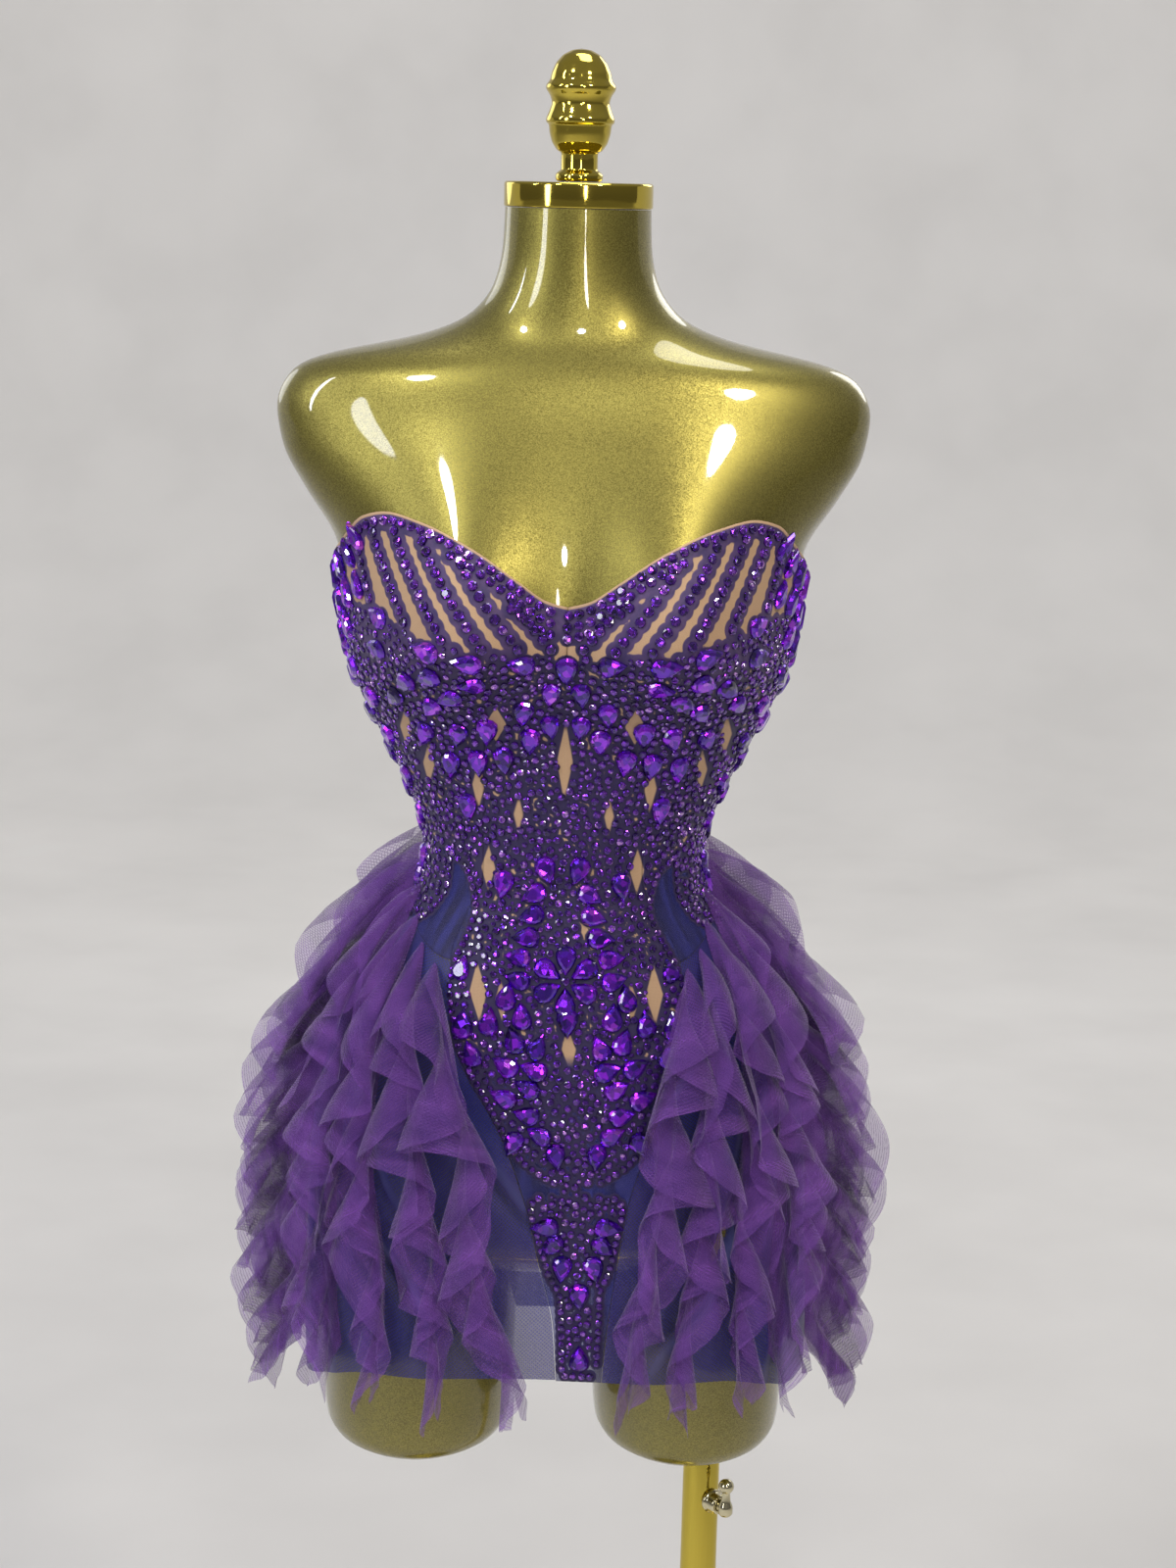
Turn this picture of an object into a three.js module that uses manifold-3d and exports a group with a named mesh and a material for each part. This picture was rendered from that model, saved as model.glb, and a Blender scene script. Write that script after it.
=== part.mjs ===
// Strapless rhinestone stage dress on a gold torso display form with a one-pole stand.
// Millimetres, +Z up, the front faces -Y and +X is the wearer's left. The origin is the centre of the base plate's
// underside. The dress is thin walls that follow one figure surface, so its cups, waist and hips are the cut's own.
import * as THREE from "three";
import Module from "manifold-3d";
import { mergeVertices } from "three/addons/utils/BufferGeometryUtils.js";

const wasm = await Module();
wasm.setup();

// ---- Driving dimensions ----
const clothWall = 1.2; // thickness of the cloth
const seamGap = 0.3; // between pieces that are sewn together
const seatGap = 0.3; // between hard pieces that touch
const neckTop = 1484; // height of the form's neck end
const crotchHeight = 786;
const thighEnd = 652; // height of the flat ends of the two thigh stubs
const neckCapRadius = 48;
const neckCapHeight = 16;
const poleX = 106; // the pole stands under the wearer's left thigh
const poleY = 4;
const tubeRadius = 12.7;
const tubeBore = 10;
const rodRadius = 9.4;
const rodLength = 480;
const rodTop = 812;
const baseRadius = 190;
const baseThickness = 8;
const zipWidth = 6;

// ---- Tables ----
// The figure's level sections. Below the crotch they are the hull round both thighs, which only the skirt uses.
const figureSections = [
  // height, halfWidth, front, back, squareness
  [1484, 47, 43, 51, 2],
  [1460, 48, 43, 52, 2],
  [1436, 53, 44, 55, 2],
  [1415, 69, 47, 61, 2],
  [1403, 95, 50, 66, 2],
  [1396, 124, 53, 70, 2],
  [1390, 157, 57, 74, 2],
  [1379, 182, 62, 79, 2.05],
  [1356, 193, 69, 86, 2.1],
  [1330, 189, 78, 91, 2.15],
  [1302, 174, 86, 94, 2.2],
  [1268, 153, 92, 95, 2.25],
  [1240, 148, 95, 94, 2.25],
  [1215, 145, 96, 91, 2.25],
  [1188, 139, 94, 86, 2.25],
  [1160, 127, 90, 80, 2.2],
  [1133, 112.5, 86, 75, 2.2],
  [1106, 100, 83, 71, 2.2],
  [1076, 90, 81, 69, 2.2],
  [1050, 91, 82, 71, 2.2],
  [1020, 104, 86, 79, 2.2],
  [990, 122, 91, 91, 2.2],
  [960, 138, 94, 102, 2.2],
  [920, 153, 97, 113, 2.2],
  [880, 162, 97, 118, 2.25],
  [840, 165, 96, 116, 2.35],
  [800, 165, 95, 110, 2.5],
  [760, 165, 95, 105, 2.7],
  [720, 165, 96, 102, 2.8],
  [680, 165, 97, 101, 2.8],
  [640, 165, 97, 101, 2.8],
].map(([height, halfWidth, front, back, squareness]) => ({ height, halfWidth, front, back, squareness }));

// The bust fills the cups: one soft mound on each side.
const bust = { across: 70, height: 1222, depth: 40, spreadX: 40, spreadUp: 56, spreadDown: 30 };

// How far the dress stands off the figure.
const easeByHeight = [
  [1320, 2],
  [1000, 2],
  [900, 2.4],
  [800, 4.5],
  [700, 7],
  [640, 7],
].map(([height, ease]) => ({ height, ease }));

// Edges that run round the body, by turn: 0 is the centre front, 90 the side and 180 the centre back.
const roundEdges = {
  neckline: [[0, 1242], [4, 1245.5], [10, 1257], [20, 1276], [31, 1290], [40, 1295], [48, 1292],
    [60, 1280], [75, 1267], [90, 1258], [115, 1248], [150, 1240], [180, 1236]],
  underbust: [[0, 1198], [12, 1187], [28, 1177], [50, 1173], [90, 1178]],
  skirtTop: [[0, 1003], [35, 1003], [60, 1016], [90, 1032], [120, 1024], [150, 1010], [180, 1002]],
  hem: [[0, 726], [35, 722], [60, 712], [90, 702], [135, 695], [180, 692]],
};
const tableOfTurns = (rows) => rows.map(([turn, height]) => ({ turn, height }));
for (const name of Object.keys(roundEdges)) roundEdges[name] = tableOfTurns(roundEdges[name]);

// The beaded front panel: its middle leans to the wearer's left as it narrows to the hem.
const frontPanelShape = [
  // height, middle, halfWidth
  [1210, 0, 50],
  [1060, 0, 50],
  [1030, 1, 63],
  [1005, 3, 73],
  [960, 6, 76],
  [930, 9, 67],
  [909, 11, 56],
  [883, 13, 45],
  [845, 14, 33],
  [800, 16, 24.5],
  [765, 18, 18],
  [720, 18, 14.5],
].map(([height, middle, halfWidth]) => ({ height, middle, halfWidth }));

// The tulle ruffles of one side, from the front to the back. Each is sewn on along a nearly upright seam.
const ruffleRows = [
  // name, turnTop, turnBottom, top, bottom, width, lean, phase
  ["front_1", 42, 8, 1000, 690, 30, 20, 0.0],
  ["front_2", 52, 20, 1010, 692, 33, 22, 0.6],
  ["front_3", 63, 35, 1026, 700, 40, 24, 1.3],
  ["front_4", 75, 51, 1042, 696, 50, 20, 1.9],
  ["side_1", 88, 84, 1054, 674, 57, 12, 2.6],
  ["side_2", 103, 101, 1060, 668, 57, 3, 3.3],
  ["back_1", 119, 116, 1072, 674, 52, 0, 4.0],
  ["back_2", 137, 134, 1064, 680, 48, -3, 4.7],
  ["back_3", 157, 154, 1050, 684, 44, -8, 5.4],
].map(([name, turnTop, turnBottom, top, bottom, width, lean, phase]) =>
  ({ name, turnTop, turnBottom, top, bottom, width, lean, phase }));
const ruffleShape = { waves: 6, swing: 7, droop: 20, opensIn: 0.06, narrowing: 0.2, thickness: 1, offSkirt: 0.5,
  seamBend: 0.6 };

// One thigh stub, as level sections about its own middle.
const thighSections = [
  // height, middle, halfWidth, front, back
  [850, 92, 62, 78, 96],
  [820, 92, 67, 83, 99],
  [790, 92, 68.5, 85, 99],
  [750, 93, 67.5, 85, 96],
  [710, 93, 66, 84, 92],
  [680, 93, 65, 83, 89],
  [665, 93, 63.5, 81, 87],
  [657, 93, 60, 77, 83],
  [thighEnd, 93, 52, 69, 75],
].map(([height, middle, halfWidth, front, back]) => ({ height, middle, halfWidth, front, back }));

// The turned finial's profile, above the neck cap.
const finialProfile = [
  // radius, rise
  [14, 0], [15.3, 1.5], [15.3, 4.6], [13.2, 6.4], [11.8, 7.4], [11.8, 18], [14.4, 19.2], [17.8, 24],
  [19.6, 30], [20.2, 35.5], [22, 37], [22, 39.5], [20.2, 43.5], [18.3, 49], [19.6, 53.5], [22.4, 57.5],
  [22.4, 60], [19.9, 63.3], [18.9, 68], [16.3, 74], [11.9, 79], [6.2, 82], [0, 83],
].map(([radius, rise]) => ({ radius, rise }));

// ---- Reading the tables ----
// The value of one column at a place between the rows, on a smooth curve through them.
function smoothValue(rows, key, column, at) {
  const rising = rows[0][key] < rows[rows.length - 1][key] ? rows : [...rows].reverse();
  const last = rising.length - 1;
  if (at <= rising[0][key]) return rising[0][column];
  if (at >= rising[last][key]) return rising[last][column];
  let i = 0;
  while (rising[i + 1][key] < at) i += 1;
  const slope = (j, k) => (rising[k][column] - rising[j][column]) / (rising[k][key] - rising[j][key]);
  const span = rising[i + 1][key] - rising[i][key];
  const here = slope(i, i + 1);
  const gentle = (a, b) => (a * b <= 0 ? 0 : (2 * a * b) / (a + b));
  const startSlope = i > 0 ? gentle(slope(i - 1, i), here) : here;
  const endSlope = i + 2 <= last ? gentle(here, slope(i + 1, i + 2)) : here;
  const t = (at - rising[i][key]) / span;
  const low = rising[i][column];
  const high = rising[i + 1][column];
  return (
    low * (2 * t ** 3 - 3 * t ** 2 + 1) +
    high * (3 * t ** 2 - 2 * t ** 3) +
    startSlope * span * (t ** 3 - 2 * t ** 2 + t) +
    endSlope * span * (t ** 3 - t ** 2)
  );
}

const figureValue = (column, height) => smoothValue(figureSections, "height", column, height);
const edgeHeight = (name, turn) => smoothValue(roundEdges[name], "turn", "height", Math.abs(turn));
const frontPanelValue = (column, height) => smoothValue(frontPanelShape, "height", column, height);
const mix = (a, b, t) => a + (b - a) * t;
const radians = THREE.MathUtils.degToRad;

// ---- The figure ----
// A point of the figure's skin. turn runs from -180 to 180 degrees, positive to the wearer's left.
function skinPoint(turn, height) {
  const power = 2 / figureValue("squareness", height);
  const across = Math.sin(radians(turn));
  const along = Math.cos(radians(turn));
  const x = figureValue("halfWidth", height) * Math.sign(across) * Math.abs(across) ** power;
  const depth = figureValue(along > 0 ? "front" : "back", height);
  let y = -depth * Math.sign(along) * Math.abs(along) ** power;
  if (along > 0) {
    const rise = height - bust.height;
    const upright = Math.exp(-0.5 * (rise / (rise > 0 ? bust.spreadUp : bust.spreadDown)) ** 2);
    const mound = (side) => Math.exp(-0.5 * ((x - side * bust.across) / bust.spreadX) ** 2);
    y -= bust.depth * upright * (mound(-1) + mound(1)) * Math.min(1, along * 3);
  }
  return new THREE.Vector3(x, y, height);
}

function skinNormal(turn, height) {
  const stepTurn = 1.5;
  const stepHeight = 2;
  const round = skinPoint(turn + stepTurn, height).sub(skinPoint(turn - stepTurn, height));
  const up = skinPoint(turn, height + stepHeight).sub(skinPoint(turn, height - stepHeight));
  return round.cross(up).normalize();
}

// A point of the dress: 0 is the cloth's inner face and clothWall its outer face.
function dressPoint(turn, height, out) {
  const ease = smoothValue(easeByHeight, "height", "ease", height);
  return skinPoint(turn, height).addScaledVector(skinNormal(turn, height), ease + out);
}

// The turn at which the front of the figure lies x to the side.
function turnAtX(x, height) {
  const share = Math.min(1, Math.abs(x) / figureValue("halfWidth", height));
  return (Math.sign(x) * Math.asin(share ** (figureValue("squareness", height) / 2)) * 180) / Math.PI;
}

const millimetresInTurns = (length, height) => length / (figureValue("halfWidth", height) * radians(1));

// ---- Making solids ----
function closedGeometry(points, triangles) {
  let volume = 0;
  for (const [a, b, c] of triangles) volume += points[a].dot(points[b].clone().cross(points[c]));
  const facing = volume < 0 ? triangles.map(([a, b, c]) => [a, c, b]) : triangles;
  const geometry = new THREE.BufferGeometry().setFromPoints(points);
  geometry.setIndex(facing.flat());
  geometry.computeVertexNormals();
  return geometry;
}

// A thin wall over a grid: place(column, row, face) gives its points, with face 0 inside and 1 outside.
function wallGeometry(columns, rows, place) {
  const points = [];
  const triangles = [];
  const at = (face, column, row) => (face * (rows + 1) + row) * (columns + 1) + column;
  for (const face of [0, 1])
    for (let row = 0; row <= rows; row += 1)
      for (let column = 0; column <= columns; column += 1)
        points.push(place(column / columns, row / rows, face));
  const quad = (a, b, c, d) => triangles.push([a, b, c], [a, c, d]);
  for (let row = 0; row < rows; row += 1)
    for (let column = 0; column < columns; column += 1) {
      quad(at(1, column, row), at(1, column, row + 1), at(1, column + 1, row + 1), at(1, column + 1, row));
      quad(at(0, column, row), at(0, column + 1, row), at(0, column + 1, row + 1), at(0, column, row + 1));
    }
  for (let row = 0; row < rows; row += 1) {
    quad(at(0, 0, row), at(0, 0, row + 1), at(1, 0, row + 1), at(1, 0, row));
    quad(at(1, columns, row), at(1, columns, row + 1), at(0, columns, row + 1), at(0, columns, row));
  }
  for (let column = 0; column < columns; column += 1) {
    quad(at(1, column, 0), at(1, column + 1, 0), at(0, column + 1, 0), at(0, column, 0));
    quad(at(0, column, rows), at(0, column + 1, rows), at(1, column + 1, rows), at(1, column, rows));
  }
  return closedGeometry(points, triangles);
}

// Rings of equally many points, joined and closed at both ends.
function loftGeometry(rings) {
  const count = rings[0].length;
  const points = rings.flat();
  const triangles = [];
  for (let ring = 0; ring + 1 < rings.length; ring += 1)
    for (let i = 0; i < count; i += 1) {
      const a = ring * count + i;
      const b = ring * count + ((i + 1) % count);
      triangles.push([a, b, b + count], [a, b + count, a + count]);
    }
  for (const ring of [0, rings.length - 1]) {
    const middle = points.length;
    points.push(rings[ring].reduce((sum, p) => sum.add(p), new THREE.Vector3()).divideScalar(count));
    for (let i = 0; i < count; i += 1) {
      const a = ring * count + i;
      const b = ring * count + ((i + 1) % count);
      triangles.push(ring ? [a, b, middle] : [b, a, middle]);
    }
  }
  return closedGeometry(points, triangles);
}

// A turned piece about the upright axis through the origin. A profile is a list of [radius, height].
function turnedGeometry(profile, segments = 32) {
  const points = profile.map(([radius, height]) => new THREE.Vector2(radius, height));
  return new THREE.LatheGeometry(points, segments).rotateX(Math.PI / 2);
}

function solidOf(geometry) {
  const bare = geometry.clone();
  bare.deleteAttribute("normal");
  bare.deleteAttribute("uv");
  const merged = mergeVertices(bare, 1e-4);
  return new wasm.Manifold(
    new wasm.Mesh({
      numProp: 3,
      vertProperties: new Float32Array(merged.attributes.position.array),
      triVerts: new Uint32Array(merged.index.array),
    }),
  );
}

function geometryOf(solid) {
  const mesh = solid.getMesh();
  const geometry = new THREE.BufferGeometry();
  geometry.setAttribute("position", new THREE.BufferAttribute(new Float32Array(mesh.vertProperties), 3));
  geometry.setIndex(Array.from(mesh.triVerts));
  geometry.computeVertexNormals();
  return geometry;
}

// ---- Materials ----
const finish = (color, roughness, metalness) => new THREE.MeshStandardMaterial({ color, roughness, metalness });
const finishes = {
  beadedMesh: finish(0x4b2a86, 0.6, 0),
  organza: finish(0x332c7c, 0.55, 0),
  tulle: finish(0x6a3d9c, 0.8, 0),
  zip: finish(0x3b2a72, 0.6, 0),
  goldPaint: finish(0xa8923a, 0.35, 0.7),
  goldPlate: finish(0xb39b35, 0.12, 1),
  nickel: finish(0xa8a286, 0.2, 1),
};

const dressOnForm = new THREE.Group();
function addPiece(name, geometry, material) {
  const piece = new THREE.Mesh(geometry, material);
  piece.name = name;
  dressOnForm.add(piece);
  return piece;
}

const sides = [
  { name: "left", sign: 1 },
  { name: "right", sign: -1 },
];

// ---- The dress ----
// A cloth panel between two upright edges and its round ones, listed from the top down with the rows between
// each two. The edges depend on each other, so each point is settled by fixing one and then the other.
function clothPanel({ columns, rows, from, to, levels }) {
  const allRows = rows.reduce((sum, count) => sum + count, 0);
  return wallGeometry(columns, allRows, (column, fall, face) => {
    let row = Math.round(fall * allRows);
    let stretch = 0;
    while (row > rows[stretch]) {
      row -= rows[stretch];
      stretch += 1;
    }
    let turn = mix(from(1000), to(1000), column);
    let height = 0;
    for (let round = 0; round < 12; round += 1) {
      height = mix(levels[stretch](turn), levels[stretch + 1](turn), row / rows[stretch]);
      turn = mix(from(height), to(height), column);
    }
    return dressPoint(turn, height, face * clothWall);
  });
}

const below = (name) => (turn) => edgeHeight(name, turn) - seamGap / 2;
const above = (name) => (turn) => edgeHeight(name, turn) + seamGap / 2;
const onEdge = (name) => (turn) => edgeHeight(name, turn);

// Pieces that share a seam have the same steps along it.
const bodiceRows = 11;
const skirtRows = 18;
const backRows = 15;
const backSkirtRows = 12;
const frontColumns = 6;
const backColumns = 8;

// The front panel's edge on one side, moved out by a distance across it.
const frontPanelEdge = (sign, out) => (height) =>
  turnAtX(frontPanelValue("middle", height) + sign * (frontPanelValue("halfWidth", height) + out), height);
const sideSeam = (sign, out) => (height) => sign * (90 + millimetresInTurns(out, height));
const centreLine = (sign, out) => (height) => sign * turnAtX(out, height);
const centreBack = (sign, out) => (height) => sign * (180 - turnAtX(out, height));

function addCup({ name, sign }) {
  const geometry = clothPanel({
    columns: 14,
    rows: [8],
    from: centreLine(sign, seamGap / 2),
    to: sideSeam(sign, -seamGap / 2),
    levels: [onEdge("neckline"), above("underbust")],
  });
  addPiece(`cup_${name}`, geometry, finishes.beadedMesh);
}

function addFrontPanel() {
  const geometry = clothPanel({
    columns: 7,
    rows: [bodiceRows, skirtRows],
    from: frontPanelEdge(-1, -seamGap / 2),
    to: frontPanelEdge(1, -seamGap / 2),
    levels: [below("underbust"), onEdge("skirtTop"), onEdge("hem")],
  });
  addPiece("front_panel", geometry, finishes.beadedMesh);
}

function addSideFront({ name, sign }) {
  const geometry = clothPanel({
    columns: frontColumns,
    rows: [bodiceRows],
    from: frontPanelEdge(sign, seamGap / 2),
    to: sideSeam(sign, -seamGap / 2),
    levels: [below("underbust"), above("skirtTop")],
  });
  addPiece(`side_front_${name}`, geometry, finishes.beadedMesh);
}

function addBack({ name, sign }) {
  const geometry = clothPanel({
    columns: backColumns,
    rows: [backRows],
    from: sideSeam(sign, seamGap / 2),
    to: centreBack(sign, zipWidth / 2 + seamGap),
    levels: [onEdge("neckline"), above("skirtTop")],
  });
  addPiece(`back_${name}`, geometry, finishes.beadedMesh);
}

function addSkirtFront({ name, sign }) {
  const geometry = clothPanel({
    columns: frontColumns,
    rows: [skirtRows],
    from: frontPanelEdge(sign, seamGap / 2),
    to: sideSeam(sign, -seamGap / 2),
    levels: [below("skirtTop"), onEdge("hem")],
  });
  addPiece(`skirt_front_${name}`, geometry, finishes.organza);
}

function addSkirtBack({ name, sign }) {
  const geometry = clothPanel({
    columns: backColumns,
    rows: [backSkirtRows],
    from: sideSeam(sign, seamGap / 2),
    to: centreBack(sign, seamGap / 2),
    levels: [below("skirtTop"), onEdge("hem")],
  });
  addPiece(`skirt_back_${name}`, geometry, finishes.organza);
}

// A strip of gathered tulle: it stands out from its seam, leans to the side and swings from fold to fold.
function addRuffle({ name, sign }, row) {
  const { waves, swing, droop, opensIn, narrowing, thickness, offSkirt, seamBend } = ruffleShape;
  const geometry = wallGeometry(1, waves * 4, (share, fall, face) => {
    const height = mix(row.top, row.bottom, fall);
    const turn = sign * mix(row.turnTop, row.turnBottom, fall ** seamBend);
    const outward = skinNormal(turn, height).setZ(0).normalize();
    const sideways = new THREE.Vector3(-outward.y, outward.x, 0).multiplyScalar(sign);
    const lean = radians(row.lean);
    const reach = outward.clone().multiplyScalar(Math.cos(lean)).addScaledVector(sideways, Math.sin(lean));
    const across = outward.clone().multiplyScalar(-Math.sin(lean)).addScaledVector(sideways, Math.cos(lean));
    const opening = Math.min(1, 0.4 + fall / opensIn);
    const width = row.width * opening * (1 - narrowing * fall ** 2);
    const fold = swing * opening * Math.sin(2 * Math.PI * waves * fall + row.phase);
    return dressPoint(turn, height, clothWall + offSkirt + (thickness / 2) * Math.sin(lean))
      .addScaledVector(reach, share * width)
      .addScaledVector(across, share * fold + (face - 0.5) * thickness)
      .add(new THREE.Vector3(0, 0, -share * droop * opening));
  });
  addPiece(`ruffle_${name}_${row.name}`, geometry, finishes.tulle);
}

// The centre back zip: its tape between the back panels, and the slider with the pin that its pull tab swings on.
const zip = { below: 4, sliderDown: 8, sliderWidth: 5, sliderDepth: 3, sliderHeight: 9, tabWidth: 2.4, tabLength: 22,
  tabThickness: 1.2, pinRadius: 0.5, barrelRadius: 1.5, cheek: 0.8 };
const zipTop = edgeHeight("neckline", 180) - zip.below;
const sliderSeat = dressPoint(180, zipTop - zip.sliderDown, clothWall);
const sliderFace = sliderSeat.y + seatGap + 0.4 + zip.sliderDepth;
const tabPivot = new THREE.Vector3(0, sliderFace + seatGap + zip.barrelRadius, sliderSeat.z);

function addZipTape() {
  const half = zipWidth / 2;
  const tape = wallGeometry(1, 12, (share, fall, face) => {
    const height = mix(zipTop, edgeHeight("skirtTop", 180) + 1, fall);
    return dressPoint(180 - turnAtX(mix(-half, half, share), height), height, face * clothWall);
  });
  addPiece("zip_tape", tape, finishes.zip);
}

const boxSolid = (width, depth, height, at) =>
  solidOf(new THREE.BoxGeometry(width, depth, height).translate(at.x, at.y, at.z));
const crossBar = (radius, length) =>
  solidOf(new THREE.CylinderGeometry(radius, radius, length, 12).rotateZ(Math.PI / 2).translate(...tabPivot));

function addZipSlider() {
  const { sliderWidth, sliderDepth, sliderHeight, tabWidth, cheek } = zip;
  const middle = new THREE.Vector3(0, sliderFace - sliderDepth / 2, tabPivot.z);
  let slider = boxSolid(sliderWidth, sliderDepth, sliderHeight, middle);
  const cheekDepth = tabPivot.y - sliderFace + 2;
  for (const { sign } of sides) {
    const x = sign * (tabWidth / 2 + seatGap + cheek / 2);
    const at = new THREE.Vector3(x, sliderFace - 1 + cheekDepth / 2, tabPivot.z);
    slider = slider.add(boxSolid(cheek, cheekDepth, 3, at));
  }
  slider = slider.add(crossBar(zip.pinRadius, tabWidth + 2 * seatGap + cheek));
  addPiece("zip_slider", geometryOf(slider), finishes.nickel);
}

// A drop-shaped tab that hangs from the slider's pin by its rolled end.
function addZipTab() {
  const { tabWidth, tabLength, tabThickness, pinRadius, barrelRadius } = zip;
  const outline = new THREE.Shape();
  outline.absarc(0, -tabLength + 3, 3, Math.PI, 2 * Math.PI, false);
  outline.lineTo(tabWidth / 2, 0);
  outline.lineTo(-tabWidth / 2, 0);
  outline.closePath();
  const plate = new THREE.ExtrudeGeometry(outline, { depth: tabThickness, bevelEnabled: false, curveSegments: 8 });
  plate.rotateX(Math.PI / 2).translate(tabPivot.x, tabPivot.y + tabThickness / 2, tabPivot.z);
  const tab = crossBar(barrelRadius, tabWidth).add(solidOf(plate));
  addPiece("zip_pull_tab", geometryOf(tab.subtract(crossBar(pinRadius + seatGap, 2 * tabWidth))), finishes.nickel);
}

// ---- The form ----
// Below the hips the torso draws in to the crotch, inside the two thighs.
const torsoTaper = [
  [848, 1],
  [830, 0.98],
  [812, 0.92],
  [798, 0.82],
  [crotchHeight, 0.66],
].map(([height, share]) => ({ height, share }));

function torsoSolid() {
  const heights = [crotchHeight, 792, 804, 824, 850, 885, 920, 950, 980, 1008, 1035, 1060, 1085, 1110, 1136, 1158,
    1175, 1190, 1204, 1218, 1234, 1254, 1278, 1304, 1328, 1350, 1368, 1380, 1388, 1394, 1400, 1408, 1420, 1438, 1460,
    neckTop];
  const count = 36;
  const rings = heights.map((height) =>
    Array.from({ length: count }, (_, i) => {
      const share = smoothValue(torsoTaper, "height", "share", height);
      return skinPoint((i / count) * 360 - 180, height).multiply(new THREE.Vector3(share, share, 1));
    }),
  );
  return solidOf(loftGeometry(rings));
}

function thighSolid(sign) {
  const count = 24;
  const rings = thighSections.map(({ height, middle, halfWidth, front, back }) =>
    Array.from({ length: count }, (_, i) => {
      const turn = (i / count) * 2 * Math.PI * sign;
      const y = -Math.cos(turn) * (Math.cos(turn) > 0 ? front : back);
      return new THREE.Vector3(sign * middle + halfWidth * Math.sin(turn), y, height);
    }),
  );
  return solidOf(loftGeometry(rings));
}

function uprightCylinder(radius, from, to, segments = 32) {
  return turnedGeometry([[0, from], [radius, from], [radius, to], [0, to]], segments).translate(poleX, poleY, 0);
}

function addForm() {
  const socket = solidOf(uprightCylinder(rodRadius + seatGap, thighEnd - 20, rodTop + seatGap));
  const torso = torsoSolid().add(thighSolid(1)).add(thighSolid(-1)).subtract(socket);
  addPiece("form_torso", geometryOf(torso), finishes.goldPaint);
}

function addNeckCapAndFinial() {
  const bottom = neckTop + seatGap;
  const top = bottom + neckCapHeight;
  const bevel = 1;
  const cap = turnedGeometry([[0, bottom], [neckCapRadius, bottom], [neckCapRadius, top - bevel],
    [neckCapRadius - bevel, top], [0, top]], 40);
  const neckMiddle = (figureValue("back", neckTop) - figureValue("front", neckTop)) / 2;
  addPiece("neck_cap", cap.translate(0, neckMiddle, 0), finishes.goldPlate);
  const foot = top + seatGap;
  const profile = [[0, foot], ...finialProfile.map(({ radius, rise }) => [radius, foot + rise])];
  addPiece("finial", turnedGeometry(profile, 20).translate(0, neckMiddle, 0), finishes.goldPlate);
}

// ---- The stand ----
const clamp = {
  height: 598,
  aim: 35, // degrees from the front towards the wearer's left
  nutRadius: 8.6,
  nutLength: 10,
  screwRadius: 3.8,
  screwReach: 33,
  leverLength: 15,
  ballRadius: 5.4,
};
const clampDirection = new THREE.Vector3(Math.sin(radians(clamp.aim)), -Math.cos(radians(clamp.aim)), 0);

// A round bar from the pole's axis outwards along the clamp's direction.
function clampBar(radius, from, to, segments = 16) {
  const bar = new THREE.CylinderGeometry(radius, radius, to - from, segments).translate(0, (from + to) / 2, 0);
  bar.applyQuaternion(new THREE.Quaternion().setFromUnitVectors(new THREE.Vector3(0, 1, 0), clampDirection));
  return bar.translate(poleX, poleY, clamp.height);
}

function addStand() {
  const edge = 2;
  const base = turnedGeometry([[0, 0], [baseRadius, 0], [baseRadius, baseThickness - edge],
    [baseRadius - edge, baseThickness], [0, baseThickness]], 48);
  addPiece("base_plate", base, finishes.goldPlate);

  const foot = baseThickness + seatGap;
  const flangeBore = tubeRadius + seatGap;
  const flange = turnedGeometry([[flangeBore, foot], [34, foot], [34, foot + 5], [20, foot + 9], [18, foot + 26],
    [flangeBore, foot + 26], [flangeBore, foot]]);
  addPiece("base_flange", flange.translate(poleX, poleY, 0), finishes.goldPlate);

  const screwHole = solidOf(clampBar(clamp.screwRadius + seatGap, tubeBore - 4, 60));
  const tubeTop = thighEnd - seatGap;
  const tube = turnedGeometry([[tubeBore, foot], [tubeRadius, foot], [tubeRadius, tubeTop],
    [tubeBore, tubeTop], [tubeBore, foot]]).translate(poleX, poleY, 0);
  addPiece("pole_tube", geometryOf(solidOf(tube).subtract(screwHole)), finishes.goldPlate);

  const nutStart = tubeRadius + seatGap;
  const nut = solidOf(clampBar(clamp.nutRadius, nutStart, nutStart + clamp.nutLength, 6));
  addPiece("clamp_nut", geometryOf(nut.subtract(screwHole)), finishes.nickel);
}

function addRod() {
  addPiece("pole_rod", uprightCylinder(rodRadius, rodTop - rodLength, rodTop), finishes.goldPlate);
}

// The clamp screw with its short lever and ball.
function addClampScrew() {
  const shaft = solidOf(clampBar(clamp.screwRadius, rodRadius + seatGap, clamp.screwReach));
  const end = clampDirection.clone().multiplyScalar(clamp.screwReach - clamp.screwRadius);
  end.add(new THREE.Vector3(poleX, poleY, clamp.height));
  const lever = new THREE.CylinderGeometry(3, 5, clamp.leverLength + 4, 12).rotateX(Math.PI / 2);
  lever.translate(end.x, end.y, end.z + clamp.leverLength / 2 - 2);
  const ball = new THREE.SphereGeometry(clamp.ballRadius, 14, 8);
  ball.translate(end.x, end.y, end.z + clamp.leverLength + 2);
  const screw = shaft.add(solidOf(lever)).add(solidOf(ball));
  addPiece("clamp_screw", geometryOf(screw), finishes.nickel);
}

// ---- Assembly ----
for (const side of sides) {
  addCup(side);
  addSideFront(side);
  addBack(side);
  addSkirtFront(side);
  addSkirtBack(side);
  for (const row of ruffleRows) addRuffle(side, row);
}
addFrontPanel();
addZipTape();
addZipSlider();
addZipTab();
addForm();
addNeckCapAndFinial();
addStand();
addRod();
addClampScrew();

export default dressOnForm;
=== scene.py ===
import math
from functools import partial

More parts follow.
